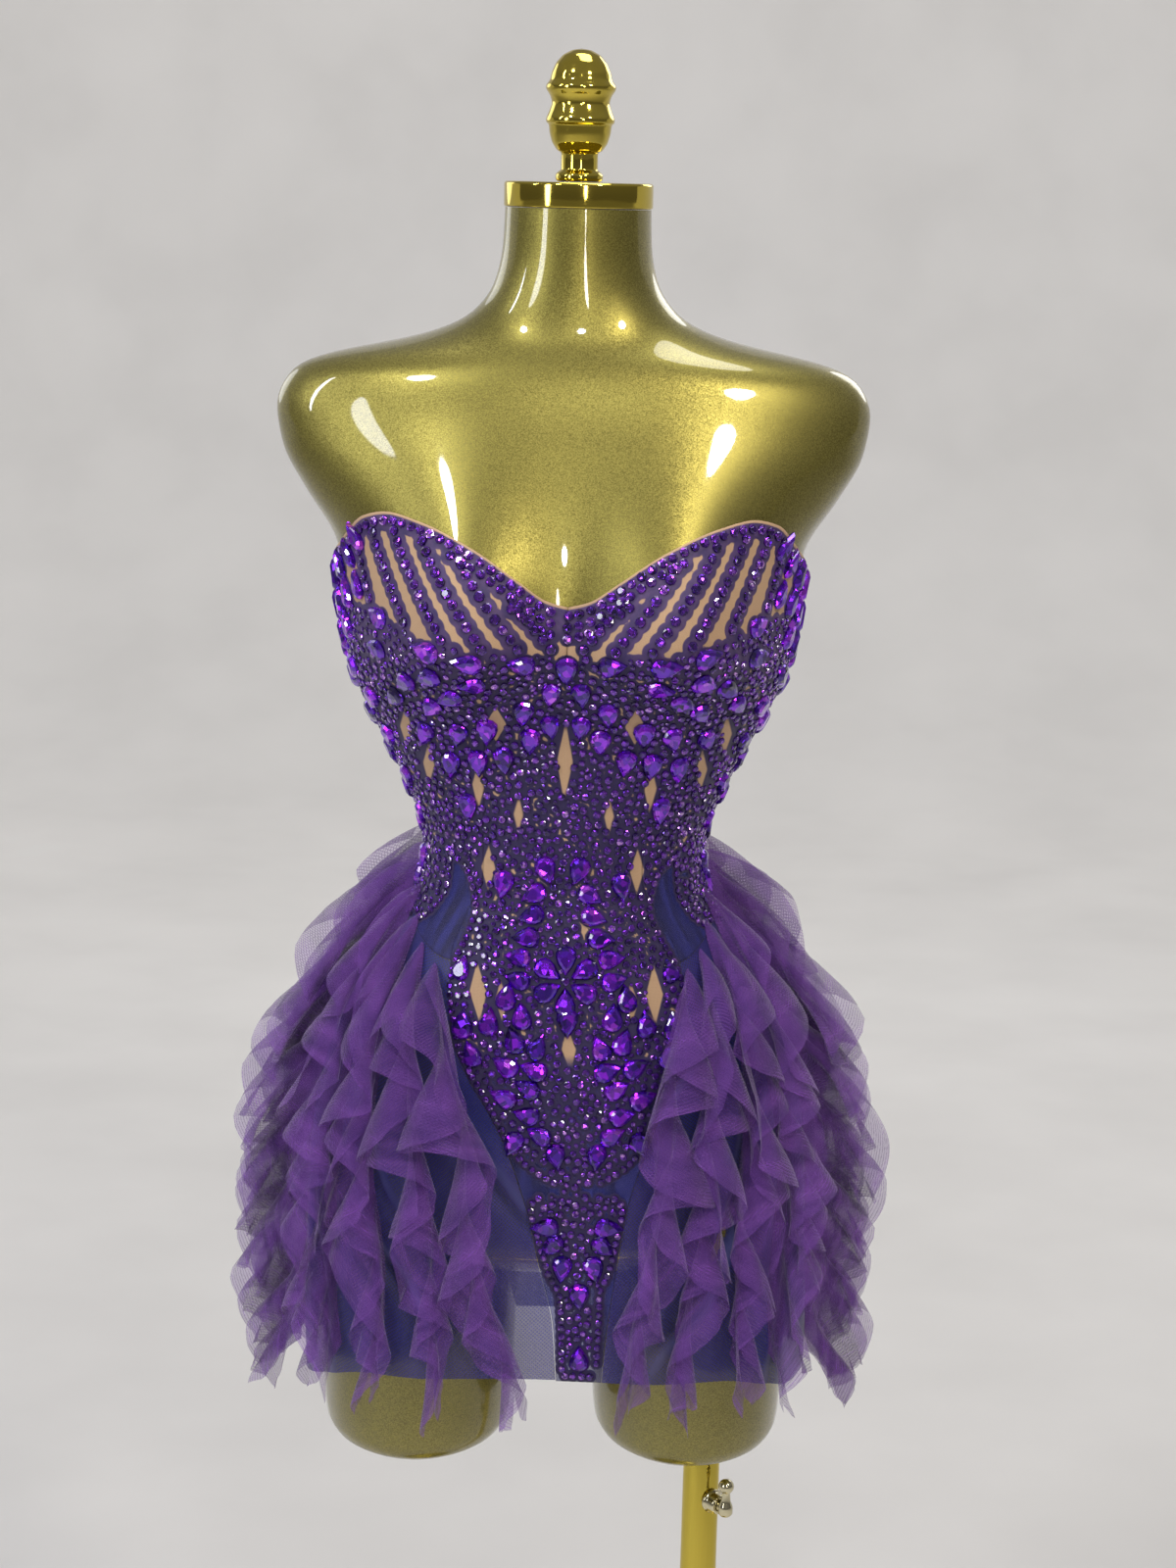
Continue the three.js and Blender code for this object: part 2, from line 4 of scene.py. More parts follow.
import bpy
import numpy as np
from mathutils import Euler, Matrix, kdtree


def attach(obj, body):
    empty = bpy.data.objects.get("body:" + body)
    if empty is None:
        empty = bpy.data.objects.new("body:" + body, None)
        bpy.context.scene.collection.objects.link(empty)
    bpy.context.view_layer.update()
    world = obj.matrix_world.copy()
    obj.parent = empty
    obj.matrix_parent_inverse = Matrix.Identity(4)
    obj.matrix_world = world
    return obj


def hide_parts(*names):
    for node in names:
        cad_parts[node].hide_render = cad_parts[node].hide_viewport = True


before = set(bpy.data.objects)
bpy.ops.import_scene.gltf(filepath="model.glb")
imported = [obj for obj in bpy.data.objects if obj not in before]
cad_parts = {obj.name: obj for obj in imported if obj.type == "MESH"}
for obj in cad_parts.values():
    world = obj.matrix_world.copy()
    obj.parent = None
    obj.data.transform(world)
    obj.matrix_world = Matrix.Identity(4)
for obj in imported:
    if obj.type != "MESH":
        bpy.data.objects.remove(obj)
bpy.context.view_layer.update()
mm = 0.001  # every length below is in millimetres until a mesh is written

# the figure under the dress: the same surface as the solids follow
figureRows = [  # height, halfWidth, front, back, squareness
    (1484, 47, 43, 51, 2), (1460, 48, 43, 52, 2), (1436, 53, 44, 55, 2), (1415, 69, 47, 61, 2),
    (1403, 95, 50, 66, 2), (1396, 124, 53, 70, 2), (1390, 157, 57, 74, 2), (1379, 182, 62, 79, 2.05),
    (1356, 193, 69, 86, 2.1), (1330, 189, 78, 91, 2.15), (1302, 174, 86, 94, 2.2), (1268, 153, 92, 95, 2.25),
    (1240, 148, 95, 94, 2.25), (1215, 145, 96, 91, 2.25), (1188, 139, 94, 86, 2.25), (1160, 127, 90, 80, 2.2),
    (1133, 112.5, 86, 75, 2.2), (1106, 100, 83, 71, 2.2), (1076, 90, 81, 69, 2.2), (1050, 91, 82, 71, 2.2),
    (1020, 104, 86, 79, 2.2), (990, 122, 91, 91, 2.2), (960, 138, 94, 102, 2.2), (920, 153, 97, 113, 2.2),
    (880, 162, 97, 118, 2.25), (840, 165, 96, 116, 2.35), (800, 165, 95, 110, 2.5), (760, 165, 95, 105, 2.7),
    (720, 165, 96, 102, 2.8), (680, 165, 97, 101, 2.8), (640, 165, 97, 101, 2.8),
]
bust = {"across": 70, "height": 1222, "depth": 40, "spreadX": 40, "spreadUp": 56, "spreadDown": 30}
easeRows = [(1320, 2), (1000, 2), (900, 2.4), (800, 4.5), (700, 7), (640, 7)]  # height, dress off the figure
edgeRows = {  # turn from the centre front, height
    "neckline": [(0, 1242), (4, 1245.5), (10, 1257), (20, 1276), (31, 1290), (40, 1295), (48, 1292),
                 (60, 1280), (75, 1267), (90, 1258), (115, 1248), (150, 1240), (180, 1236)],
    "underbust": [(0, 1198), (12, 1187), (28, 1177), (50, 1173), (90, 1178)],
    "skirtTop": [(0, 1003), (35, 1003), (60, 1016), (90, 1032), (120, 1024), (150, 1010), (180, 1002)],
    "hem": [(0, 726), (35, 722), (60, 712), (90, 702), (135, 695), (180, 692)],
}
frontPanelRows = [  # height, middle, halfWidth
    (1210, 0, 50), (1060, 0, 50), (1030, 1, 63), (1005, 3, 73), (960, 6, 76), (930, 9, 67), (909, 11, 56),
    (883, 13, 45), (845, 14, 33), (800, 16, 24.5), (765, 18, 18), (720, 18, 14.5),
]
cloth = {"wall": 1.2, "seam": 0.3, "offSkirt": 0.5}
sides = {"left": 1, "right": -1}  # the wearer's own
frontTurn = 93  # the beaded front reaches this far round


def smoothCurve(rows, column):  # a curve through a table's rows that never overshoots them
    rows = sorted(rows)
    x = np.array([row[0] for row in rows], float)
    y = np.array([row[column] for row in rows], float)
    slopes = np.diff(y) / np.diff(x)
    before, after = slopes[:-1], slopes[1:]
    both = np.where(before + after == 0, 1, before + after)
    inner = np.where(before * after > 0, 2 * before * after / both, 0)
    tangents = np.concatenate([slopes[:1], inner, slopes[-1:]])

    def at(place):
        place = np.clip(place, x[0], x[-1])
        i = np.clip(np.searchsorted(x, place, side="right") - 1, 0, len(x) - 2)
        span = x[i + 1] - x[i]
        t = (place - x[i]) / span
        return (
            y[i] * (2 * t**3 - 3 * t**2 + 1) + y[i + 1] * (3 * t**2 - 2 * t**3)
            + span * (tangents[i] * (t**3 - 2 * t**2 + t) + tangents[i + 1] * (t**3 - t**2))
        )

    return at


def blurred(values, reach):  # evens out what the table's rows leave in the gloss
    kernel = np.exp(-0.5 * (np.arange(-3 * reach, 3 * reach + 1) / reach) ** 2)
    padded = np.pad(values, 3 * reach, mode="edge")
    return np.convolve(padded, kernel / kernel.sum(), mode="valid")


fineHeights = np.arange(600.0, 1500.0, 1.0)
figureTable = {
    name: blurred(smoothCurve(figureRows, column)(fineHeights), 4)
    for column, name in enumerate(("halfWidth", "front", "back", "squareness"), start=1)
}
edges = {name: smoothCurve(rows, 1) for name, rows in edgeRows.items()}
easeAt = smoothCurve(easeRows, 1)
panelMiddle = smoothCurve(frontPanelRows, 1)
panelHalfWidth = smoothCurve(frontPanelRows, 2)


def figureValue(name, height):
    return np.interp(height, fineHeights, figureTable[name])


def skinPoint(turn, height):
    turn, height = np.broadcast_arrays(np.asarray(turn, float), np.asarray(height, float))
    power = 2 / figureValue("squareness", height)
    across, along = np.sin(np.radians(turn)), np.cos(np.radians(turn))
    x = figureValue("halfWidth", height) * np.sign(across) * np.abs(across) ** power
    depth = np.where(along > 0, figureValue("front", height), figureValue("back", height))
    y = -depth * np.sign(along) * np.abs(along) ** power
    rise = height - bust["height"]
    upright = np.exp(-0.5 * (rise / np.where(rise > 0, bust["spreadUp"], bust["spreadDown"])) ** 2)
    mounds = sum(np.exp(-0.5 * ((x - side * bust["across"]) / bust["spreadX"]) ** 2) for side in (-1, 1))
    y = y - np.where(along > 0, bust["depth"] * upright * mounds * np.clip(along * 3, 0, 1), 0)
    return np.stack([x, y, height], -1)


def unit(vectors):
    return vectors / np.maximum(np.linalg.norm(vectors, axis=-1, keepdims=True), 1e-9)


def skinNormal(turn, height):
    around = skinPoint(turn + 1.5, height) - skinPoint(turn - 1.5, height)
    up = skinPoint(turn, height + 2) - skinPoint(turn, height - 2)
    return unit(np.cross(around, up))


def dressPoint(turn, height, out):
    return skinPoint(turn, height) + skinNormal(turn, height) * (easeAt(height) + out)[..., None]


def turnAtX(x, height):  # where the front of the figure lies x to the side
    share = np.clip(np.abs(x) / figureValue("halfWidth", height), 0, 1)
    return np.sign(x) * np.degrees(np.arcsin(share ** (figureValue("squareness", height) / 2)))


tableTurns = np.arange(-180.0, 181.0, 1.0)
tableStep = 5.0
tableHeights = np.arange(680.0, 1310.0, tableStep)
tableSkin = skinPoint(tableTurns[None, :], tableHeights[:, None])
stepsRound = np.linalg.norm(np.diff(tableSkin, axis=1), axis=2)
arcTable = np.concatenate([np.zeros((len(tableHeights), 1)), np.cumsum(stepsRound, axis=1)], axis=1)
arcTable -= arcTable[:, 180:181]  # millimetres round the figure from the centre front


def turnAtArc(arc, height):
    row = np.clip(np.rint((height - tableHeights[0]) / tableStep).astype(int), 0, len(tableHeights) - 1)
    return np.array([np.interp(a, arcTable[r], tableTurns) for a, r in zip(arc, row)])


# materials: colours are sRGB, and each pattern's scale comes from a size in millimetres
def linear(hexColour):
    parts = [int(hexColour[i:i + 2], 16) / 255 for i in (1, 3, 5)]
    return tuple(c / 12.92 if c <= 0.04045 else ((c + 0.055) / 1.055) ** 2.4 for c in parts) + (1,)


def feed(node, inputs):  # sockets are linked, plain values are set
    for name, value in inputs.items():
        if isinstance(value, bpy.types.NodeSocket):
            node.id_data.links.new(value, node.inputs[name])
        else:
            node.inputs[name].default_value = value


def addNode(tree, kind, inputs=None, stops=(), **settings):  # stops are a colour ramp's places and colours
    node = tree.nodes.new(kind if "Node" in kind else "ShaderNode" + kind)
    for name, value in settings.items():
        setattr(node, name, value)
    feed(node, inputs or {})
    if stops:
        elements = node.color_ramp.elements
        while len(elements) < len(stops):
            elements.new(0.5)
        for element, (place, hexColour) in zip(elements, stops):
            element.position = place
            element.color = linear(hexColour)
    return node


def newMaterial(name):  # with a way to add nodes to it, and its shader
    material = bpy.data.materials.new(name)
    material.use_nodes = True
    tree = material.node_tree
    return material, partial(addNode, tree), tree.nodes["Principled BSDF"]


def attributeOf(add, *names):  # what the piece's points say about themselves
    return [add("Attribute", attribute_name=name).outputs["Fac"] for name in names]


def leaningFacets(add, cells, tilt):  # each cell leans its own way, so that they flash one after another
    centred = add("VectorMath", {0: cells.outputs["Color"], 1: (0.5, 0.5, 0.5)}, operation="SUBTRACT")
    lean = add("VectorMath", {0: centred.outputs[0], "Scale": tilt}, operation="SCALE")
    facing = add("NewGeometry").outputs["Normal"]
    leaning = add("VectorMath", {0: facing, 1: lean.outputs[0]}, operation="ADD")
    return add("VectorMath", {0: leaning.outputs[0]}, operation="NORMALIZE").outputs[0]


def flakeLacquer():
    # moulded plastic sprayed with metal-flake lacquer and clear coat: fine glitter under a wet gloss
    values = {"dark": "#655D24", "light": "#938A42", "flake": 0.5, "tilt": 0.1, "metallic": 0.8,
              "roughness": 0.38, "coatRoughness": 0.04}
    material, add, shader = newMaterial("gold flake lacquer")
    place = add("TexCoord").outputs["Object"]
    flakes = add("TexVoronoi", {"Vector": place, "Scale": 1 / (values["flake"] * mm)})
    bright = add("SeparateColor", {0: flakes.outputs["Color"]})
    tone = add("ValToRGB", {0: bright.outputs[0]}, [(0, values["dark"]), (1, values["light"])])
    feed(shader, {"Base Color": tone.outputs[0], "Normal": leaningFacets(add, flakes, values["tilt"]),
                  "Metallic": values["metallic"], "Roughness": values["roughness"],
                  "Coat Weight": 1, "Coat Roughness": values["coatRoughness"]})
    return material


def polishedMetal(name, colour, roughness, scratch):
    # turned steel, polished and plated: a clear mirror with faint hairlines
    hairline = {"size": 4, "stretch": 9}
    material, add, shader = newMaterial(name)
    place = add("TexCoord").outputs["Object"]
    spread = add("Mapping", {"Vector": place, "Scale": (1, 1, hairline["stretch"])})
    hairlines = add("TexNoise", {"Vector": spread.outputs[0], "Scale": 1 / (hairline["size"] * mm),
                                 "Detail": 6})
    level = add("MapRange", {"Value": hairlines.outputs["Fac"], "To Min": roughness,
                             "To Max": roughness + scratch})
    feed(shader, {"Base Color": linear(colour), "Metallic": 1, "Roughness": level.outputs[0]})
    return material


def stretchMesh():
    # warp-knit skin-tone net with violet lace applique fused on, and blue net at the waist sides; the net's
    # folds and the lace between the close-set stones get painted shade
    values = {"skin": "#AE8E6E", "lace": "#46305E", "laceDark": "#2C1B50", "under": "#1F1042",
              "blue": "#2B2D86", "blueFoldShade": "#14155A", "knit": 0.9, "cloud": 9, "foldWide": 7,
              "foldLong": 60, "edge": 0.9, "relief": 0.25, "blueSheer": 0.5, "roughness": 0.62,
              "sheen": 0.12}
    material, add, shader = newMaterial("stretch mesh with applique")
    place = add("UVMap", uv_map="clothMap").outputs[0]
    cover, blue, crowd = attributeOf(add, "applique", "blueShare", "crowd")
    knit = add("TexVoronoi", {"Vector": place, "Scale": 1 / (values["knit"] * mm), "Randomness": 0.4},
               feature="DISTANCE_TO_EDGE", voronoi_dimensions="2D")
    # painted shade: a stretched noise darkens fold streaks in the blue net's colour
    foldScale = (1 / (values["foldWide"] * mm), 1 / (values["foldLong"] * mm), 1)
    drawn = add("Mapping", {"Vector": place, "Scale": foldScale})
    folds = add("TexNoise", {"Vector": drawn.outputs[0], "Scale": 1, "Detail": 2})
    blues = add("ValToRGB", {0: folds.outputs["Fac"]}, [(0.38, values["blueFoldShade"]), (0.6, values["blue"])])
    ground = add("Mix", {0: blue, 6: linear(values["skin"]), 7: blues.outputs[0]}, data_type="RGBA")
    threads = add("MapRange", {"Value": knit.outputs[0], "From Min": 0.05, "From Max": 0.25,
                               "To Min": 1.12, "To Max": 0.86})
    woven = add("VectorMath", {0: ground.outputs[2], "Scale": threads.outputs[0]}, operation="SCALE")
    cloud = add("TexNoise", {"Vector": place, "Scale": 1 / (values["cloud"] * mm), "Detail": 4})
    lace = add("ValToRGB", {0: cloud.outputs["Fac"]}, [(0.35, values["laceDark"]), (0.6, values["lace"])])
    # painted shade: below the cups the lace between the close-set stones is mixed towards a dark violet
    shadedLace = add("Mix", {0: crowd, 6: lace.outputs[0], 7: linear(values["under"])}, data_type="RGBA")
    onLace = add("MapRange", {"Value": cover, "From Min": -0.25, "From Max": 0.35}).outputs[0]
    colour = add("Mix", {0: onLace, 6: woven.outputs[0], 7: shadedLace.outputs[2]}, data_type="RGBA")
    raised = add("MapRange", {"Value": cover, "From Min": -0.3, "From Max": values["edge"]})
    relief = add("Math", {0: knit.outputs[0], 1: 0.35, 2: raised.outputs[0]}, operation="MULTIPLY_ADD")
    bump = add("Bump", {"Height": relief.outputs[0], "Distance": values["relief"] * mm, "Strength": 0.7})
    clear = add("Math", {0: 1.0, 1: onLace}, operation="SUBTRACT")
    sheer = add("Math", {0: clear.outputs[0], 1: blue}, operation="MULTIPLY")
    alpha = add("Math", {0: sheer.outputs[0], 1: -values["blueSheer"], 2: 1.0}, operation="MULTIPLY_ADD")
    feed(shader, {"Base Color": colour.outputs[2], "Alpha": alpha.outputs[0], "Normal": bump.outputs[0],
                  "Roughness": values["roughness"], "Sheen Weight": values["sheen"]})
    return material


def organzaCloth():
    # crisp plain-woven silk-like sheer: a soft sheen, painted shade in the crease troughs and a painted
    # highlight on their ridges, the form showing through
    values = {"blue": "#1B1E6C", "violet": "#332A72", "fold": "#0A0E4C", "ridgeHighlight": "#6064B0", "thread": 1.3,
              "cloud": 70, "open": 0.74, "close": 0.97, "weave": 0.06, "relief": 0.05, "roughness": 0.48,
              "sheen": 0.25, "sheenRoughness": 0.4}
    material, add, shader = newMaterial("woven organza")
    place = add("UVMap", uv_map="clothMap").outputs[0]
    density, crease = attributeOf(add, "density", "crease")
    cloud = add("TexNoise", {"Vector": place, "Scale": 1 / (values["cloud"] * mm), "Detail": 3})
    shade = add("ValToRGB", {0: cloud.outputs["Fac"]}, [(0.35, values["blue"]), (0.65, values["violet"])])
    weave = add("TexChecker", {"Vector": place, "Scale": 1 / (values["thread"] * mm)}).outputs["Fac"]
    sheer = add("MapRange", {"Value": density, "To Min": values["open"], "To Max": values["close"]})
    alpha = add("Math", {0: weave, 1: values["weave"], 2: sheer.outputs[0]}, operation="MULTIPLY_ADD",
                use_clamp=True)
    bump = add("Bump", {"Height": weave, "Distance": values["relief"] * mm, "Strength": 0.4})
    # painted shade in the crease troughs and a painted highlight on their ridges
    trough = add("MapRange", {"Value": crease, "From Min": 0, "From Max": -1, "To Max": 0.85})
    crestHighlight = add("MapRange", {"Value": crease, "To Max": 0.7})
    troughShaded = add("Mix", {0: trough.outputs[0], 6: shade.outputs[0], 7: linear(values["fold"])},
               data_type="RGBA")
    colour = add("Mix", {0: crestHighlight.outputs[0], 6: troughShaded.outputs[2], 7: linear(values["ridgeHighlight"])},
                 data_type="RGBA")
    feed(shader, {"Base Color": colour.outputs[2], "Alpha": alpha.outputs[0], "Normal": bump.outputs[0],
                  "Roughness": values["roughness"], "Sheen Weight": values["sheen"],
                  "Sheen Roughness": values["sheenRoughness"]})
    return material


def tulleNet():
    # soft hexagonal nylon net: matt, hazy where it is single and deep purple where its layers gather
    # its holes are drawn about twice as large as the real ones, to show at this size
    values = {"pale": "#7642A0", "deep": "#431C6E", "mesh": 2.3, "thread": 0.2, "cloud": 35, "open": 0.32,
              "close": 0.86, "netting": 0.3, "roughness": 0.9, "sheen": 0.35, "sheenRoughness": 0.5}
    material, add, shader = newMaterial("hexagonal tulle")
    place = add("UVMap", uv_map="clothMap").outputs[0]
    density, = attributeOf(add, "density")
    net = add("TexVoronoi", {"Vector": place, "Scale": 1 / (values["mesh"] * mm), "Randomness": 0.25},
              feature="DISTANCE_TO_EDGE", voronoi_dimensions="2D")
    thread = add("MapRange", {"Value": net.outputs[0], "From Min": values["thread"] * 0.5,
                              "From Max": values["thread"], "To Min": 1, "To Max": 0})
    haze = add("MapRange", {"Value": density, "To Min": values["open"], "To Max": values["close"]})
    alpha = add("Math", {0: thread.outputs[0], 1: values["netting"], 2: haze.outputs[0]},
                operation="MULTIPLY_ADD", use_clamp=True)
    cloud = add("TexNoise", {"Vector": place, "Scale": 1 / (values["cloud"] * mm), "Detail": 5})
    shade = add("ValToRGB", {0: cloud.outputs["Fac"]}, [(0.32, values["deep"]), (0.68, values["pale"])])
    feed(shader, {"Base Color": shade.outputs[0], "Alpha": alpha.outputs[0], "Roughness": values["roughness"],
                  "Sheen Weight": values["sheen"], "Sheen Roughness": values["sheenRoughness"]})
    return material


def foiledGlass(name, cell, flashes, tilt):
    # pressed lead glass with a mirror foil behind: the inner facets' violet flashes are painted into the base
    # colour facet by facet, and the table mirrors the lamps
    values = {"facetShare": 0.68, "stoneShare": 0.36, "metallic": 0.85, "roughness": 0.16,
              "coatRoughness": 0.02, "coatIor": 1.6}
    material, add, shader = newMaterial(name)
    place = add("TexCoord").outputs["Object"]
    facets = add("TexVoronoi", {"Vector": place, "Scale": 1 / (cell * mm)})
    parts = add("SeparateColor", {0: facets.outputs["Color"]})
    tint, = attributeOf(add, "tint")
    # painted flashes: each facet's random share and each stone's random tint pick a colour on the flash ramp
    flash = add("Math", {0: parts.outputs[0], 1: values["facetShare"]}, operation="MULTIPLY")
    lit = add("Math", {0: tint, 1: values["stoneShare"], 2: flash.outputs[0]}, operation="MULTIPLY_ADD")
    shade = add("ValToRGB", {0: lit.outputs[0]}, flashes)
    feed(shader, {"Base Color": shade.outputs[0], "Normal": leaningFacets(add, facets, tilt),
                  "Metallic": values["metallic"], "Roughness": values["roughness"], "Coat Weight": 1,
                  "Coat Roughness": values["coatRoughness"], "Coat IOR": values["coatIor"]})
    return material


def wovenTape():
    # herringbone polyester tape: matt, with fine slanted ribs
    values = {"dark": "#231A52", "light": "#3C3074", "rib": 2.4, "relief": 0.1, "roughness": 0.8}
    material, add, shader = newMaterial("woven zip tape")
    place = add("UVMap", uv_map="clothMap").outputs[0]
    ribs = add("TexWave", {"Vector": place, "Scale": 1 / (values["rib"] * mm), "Distortion": 0.3},
               bands_direction="DIAGONAL").outputs["Fac"]
    shade = add("ValToRGB", {0: ribs}, [(0.2, values["dark"]), (0.8, values["light"])])
    bump = add("Bump", {"Height": ribs, "Distance": values["relief"] * mm, "Strength": 0.6})
    feed(shader, {"Base Color": shade.outputs[0], "Normal": bump.outputs[0],
                  "Roughness": values["roughness"]})
    return material


# painted flashes and glints: from dark facets to bright facets and white-lilac glints
roundFlash = [(0.0, "#12042A"), (0.25, "#300C68"), (0.55, "#501594"), (0.8, "#8032C4"), (1.0, "#DCA8FA")]
dropFlash = [(0.0, "#1A0238"), (0.25, "#3A0690"), (0.55, "#6408C8"), (0.82, "#9A18F0"), (1.0, "#C85CFF")]
materials = {
    "lacquer": flakeLacquer(),
    "gold": polishedMetal("polished gold plate", "#CDB84E", 0.05, 0.06),
    "nickel": polishedMetal("polished nickel plate", "#CFC7A6", 0.1, 0.1),
    "mesh": stretchMesh(),
    "organza": organzaCloth(),
    "tulle": tulleNet(),
    "stone": foiledGlass("foiled glass stones", 1.9, roundFlash, 0.75),
    "pear": foiledGlass("foiled glass drops", 4.0, dropFlash, 0.6),
    "tape": wovenTape(),
}


# meshes, from points in millimetres
def newPiece(name, points, faces, material, smooth=True):
    mesh = bpy.data.meshes.new(name)
    mesh.from_pydata((np.asarray(points) * mm).tolist(), [], faces)
    mesh.update()
    if smooth:
        mesh.shade_smooth()
    mesh.materials.append(materials[material])
    piece = bpy.data.objects.new(name, mesh)
    bpy.context.scene.collection.objects.link(piece)
    return piece


def setAttribute(piece, name, values, kind="FLOAT"):
    attribute = piece.data.attributes.new(name, kind, "POINT")
    key = "vector" if kind == "FLOAT_VECTOR" else "value"
    attribute.data.foreach_set(key, np.ravel(values).astype(np.float32))


def setClothMap(piece, across, along):  # metres along the cloth, so that weaves keep their size
    layer = piece.data.uv_layers.new(name="clothMap")
    corners = np.empty(len(piece.data.loops), np.int32)
    piece.data.loops.foreach_get("vertex_index", corners)
    pairs = np.stack([np.ravel(across), np.ravel(along)], -1)[corners] * mm
    layer.data.foreach_set("uv", pairs.ravel().astype(np.float32))


def gridFaces(rows, columns, start=0, flip=False):
    r, c = np.meshgrid(np.arange(rows - 1), np.arange(columns - 1), indexing="ij")
    a = (start + r * columns + c).ravel()
    quads = np.stack([a, a + columns, a + columns + 1, a + 1], -1)
    return (quads[:, ::-1] if flip else quads).tolist()


def wallFaces(rows, columns):  # a closed wall from an outer grid followed by an inner one
    count = rows * columns
    faces = gridFaces(rows, columns) + gridFaces(rows, columns, start=count, flip=True)
    rim = [c for c in range(columns)] + [r * columns + columns - 1 for r in range(1, rows)]
    rim += [(rows - 1) * columns + c for c in range(columns - 2, -1, -1)]
    rim += [r * columns for r in range(rows - 2, 0, -1)]
    for a, b in zip(rim, rim[1:] + rim[:1]):
        faces.append([a, b, b + count, a + count])
    return faces


def gridLengths(points):  # millimetres across and along a grid of points
    across = np.linalg.norm(np.diff(points, axis=1), axis=2)
    along = np.linalg.norm(np.diff(points, axis=0), axis=2)
    u = np.concatenate([np.zeros((len(points), 1)), np.cumsum(across, axis=1)], axis=1)
    v = np.concatenate([np.zeros((1, points.shape[1])), np.cumsum(along, axis=0)], axis=0)
    return u - u.mean(axis=1, keepdims=True), v


def turned(name, profile, material, at=(0, 0), segments=96):  # profile is (radius, height) from bottom to top
    points, rings = [], []
    for radius, height in profile:
        if radius < 0.01:
            rings.append([len(points)])
            points.append((at[0], at[1], height))
            continue
        turns = np.arange(segments) * 2 * math.pi / segments
        rings.append(list(range(len(points), len(points) + segments)))
        points += [(at[0] + radius * math.cos(t), at[1] + radius * math.sin(t), height) for t in turns]
    faces = []
    for low, high in zip(rings, rings[1:]):
        for i in range(segments):
            j = (i + 1) % segments
            quad = [low[i % len(low)], low[j % len(low)], high[j % len(high)], high[i % len(high)]]
            faces.append(list(dict.fromkeys(quad)))
    return newPiece(name, points, faces, material)


def rounded(profile, radius=0.6, steps=4):  # softens a profile's corners
    out = [profile[0]]
    for before, corner, after in zip(profile, profile[1:], profile[2:]):
        b, c, a = (np.array(p, float) for p in (before, corner, after))
        reach = min(radius, np.linalg.norm(b - c) / 2.2, np.linalg.norm(a - c) / 2.2)
        start, end = c + unit(b - c) * reach, c + unit(a - c) * reach
        for t in np.linspace(0, 1, steps):
            out.append(tuple((1 - t) ** 2 * start + 2 * t * (1 - t) * c + t**2 * end))
    return out + [profile[-1]]


def joined(name, pieces):  # one object from several, with their materials and maps kept
    with bpy.context.temp_override(active_object=pieces[0], object=pieces[0], selected_objects=pieces,
                                   selected_editable_objects=pieces):
        bpy.ops.object.join()
    pieces[0].name = name
    pieces[0].data.name = name
    return pieces[0]


def applyModifiers(piece):
    evaluated = piece.evaluated_get(bpy.context.evaluated_depsgraph_get())
    mesh = bpy.data.meshes.new_from_object(evaluated)
    piece.modifiers.clear()
    piece.data = mesh
    return piece


# the form
def finishPiece(piece, body, slot, *nodes):
    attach(piece, body)
    if nodes:
        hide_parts(*nodes)
    return piece


neck = {"top": 1484, "middle": 4, "capRadius": 48, "capHeight": 16, "gap": 0.3}
thighTurn, roundTop = 3.75, 670  # degrees between a thigh's points, and where its foot starts to round
torsoLow, torsoStep = 786, 4.5
thighRows = [  # height, middle, halfWidth, front, back
    (850, 92, 62, 78, 96), (820, 92, 67, 83, 99), (790, 92, 68.5, 85, 99), (750, 93, 67.5, 85, 96),
    (710, 93, 66, 84, 92), (680, 93, 65, 83, 89), (665, 93, 63.5, 81, 87), (657, 93, 60, 77, 83),
    (652, 93, 52, 69, 75),
]
torsoTaper = [(848, 1), (830, 0.98), (812, 0.92), (798, 0.82), (786, 0.66)]  # height, share of the section
pole = {"x": 106, "y": 4, "rod": 9.4, "rodLow": 332, "rodTop": 812, "socketTop": 812.3, "tube": 12.7,
        "tubeTop": 651.7, "bore": 10}


def ringMesh(name, rings, material):  # closed rings from the top down, with flat ends
    count = rings.shape[1]
    points = np.concatenate([rings.reshape(-1, 3), rings[:1].mean(axis=1), rings[-1:].mean(axis=1)])
    faces = []
    for ring in range(len(rings) - 1):
        for i in range(count):
            a, b = ring * count + i, ring * count + (i + 1) % count
            faces.append([a, a + count, b + count, b])
    last = (len(rings) - 1) * count
    for i in range(count):
        j = (i + 1) % count
        faces.append([i, j, len(points) - 2])
        faces.append([last + j, last + i, len(points) - 1])
    return newPiece(name, points, faces, material)


def evenHeights(low, high, step):  # closer together where the outline runs nearly level, as on the shoulders
    heights = np.arange(low, high + 0.5, 0.5)
    width = figureValue("halfWidth", heights)
    run = np.concatenate([[0], np.cumsum(np.hypot(np.diff(heights), np.diff(width) * 0.6))])
    return np.interp(np.linspace(0, run[-1], int(run[-1] / step)), run, heights)[::-1]


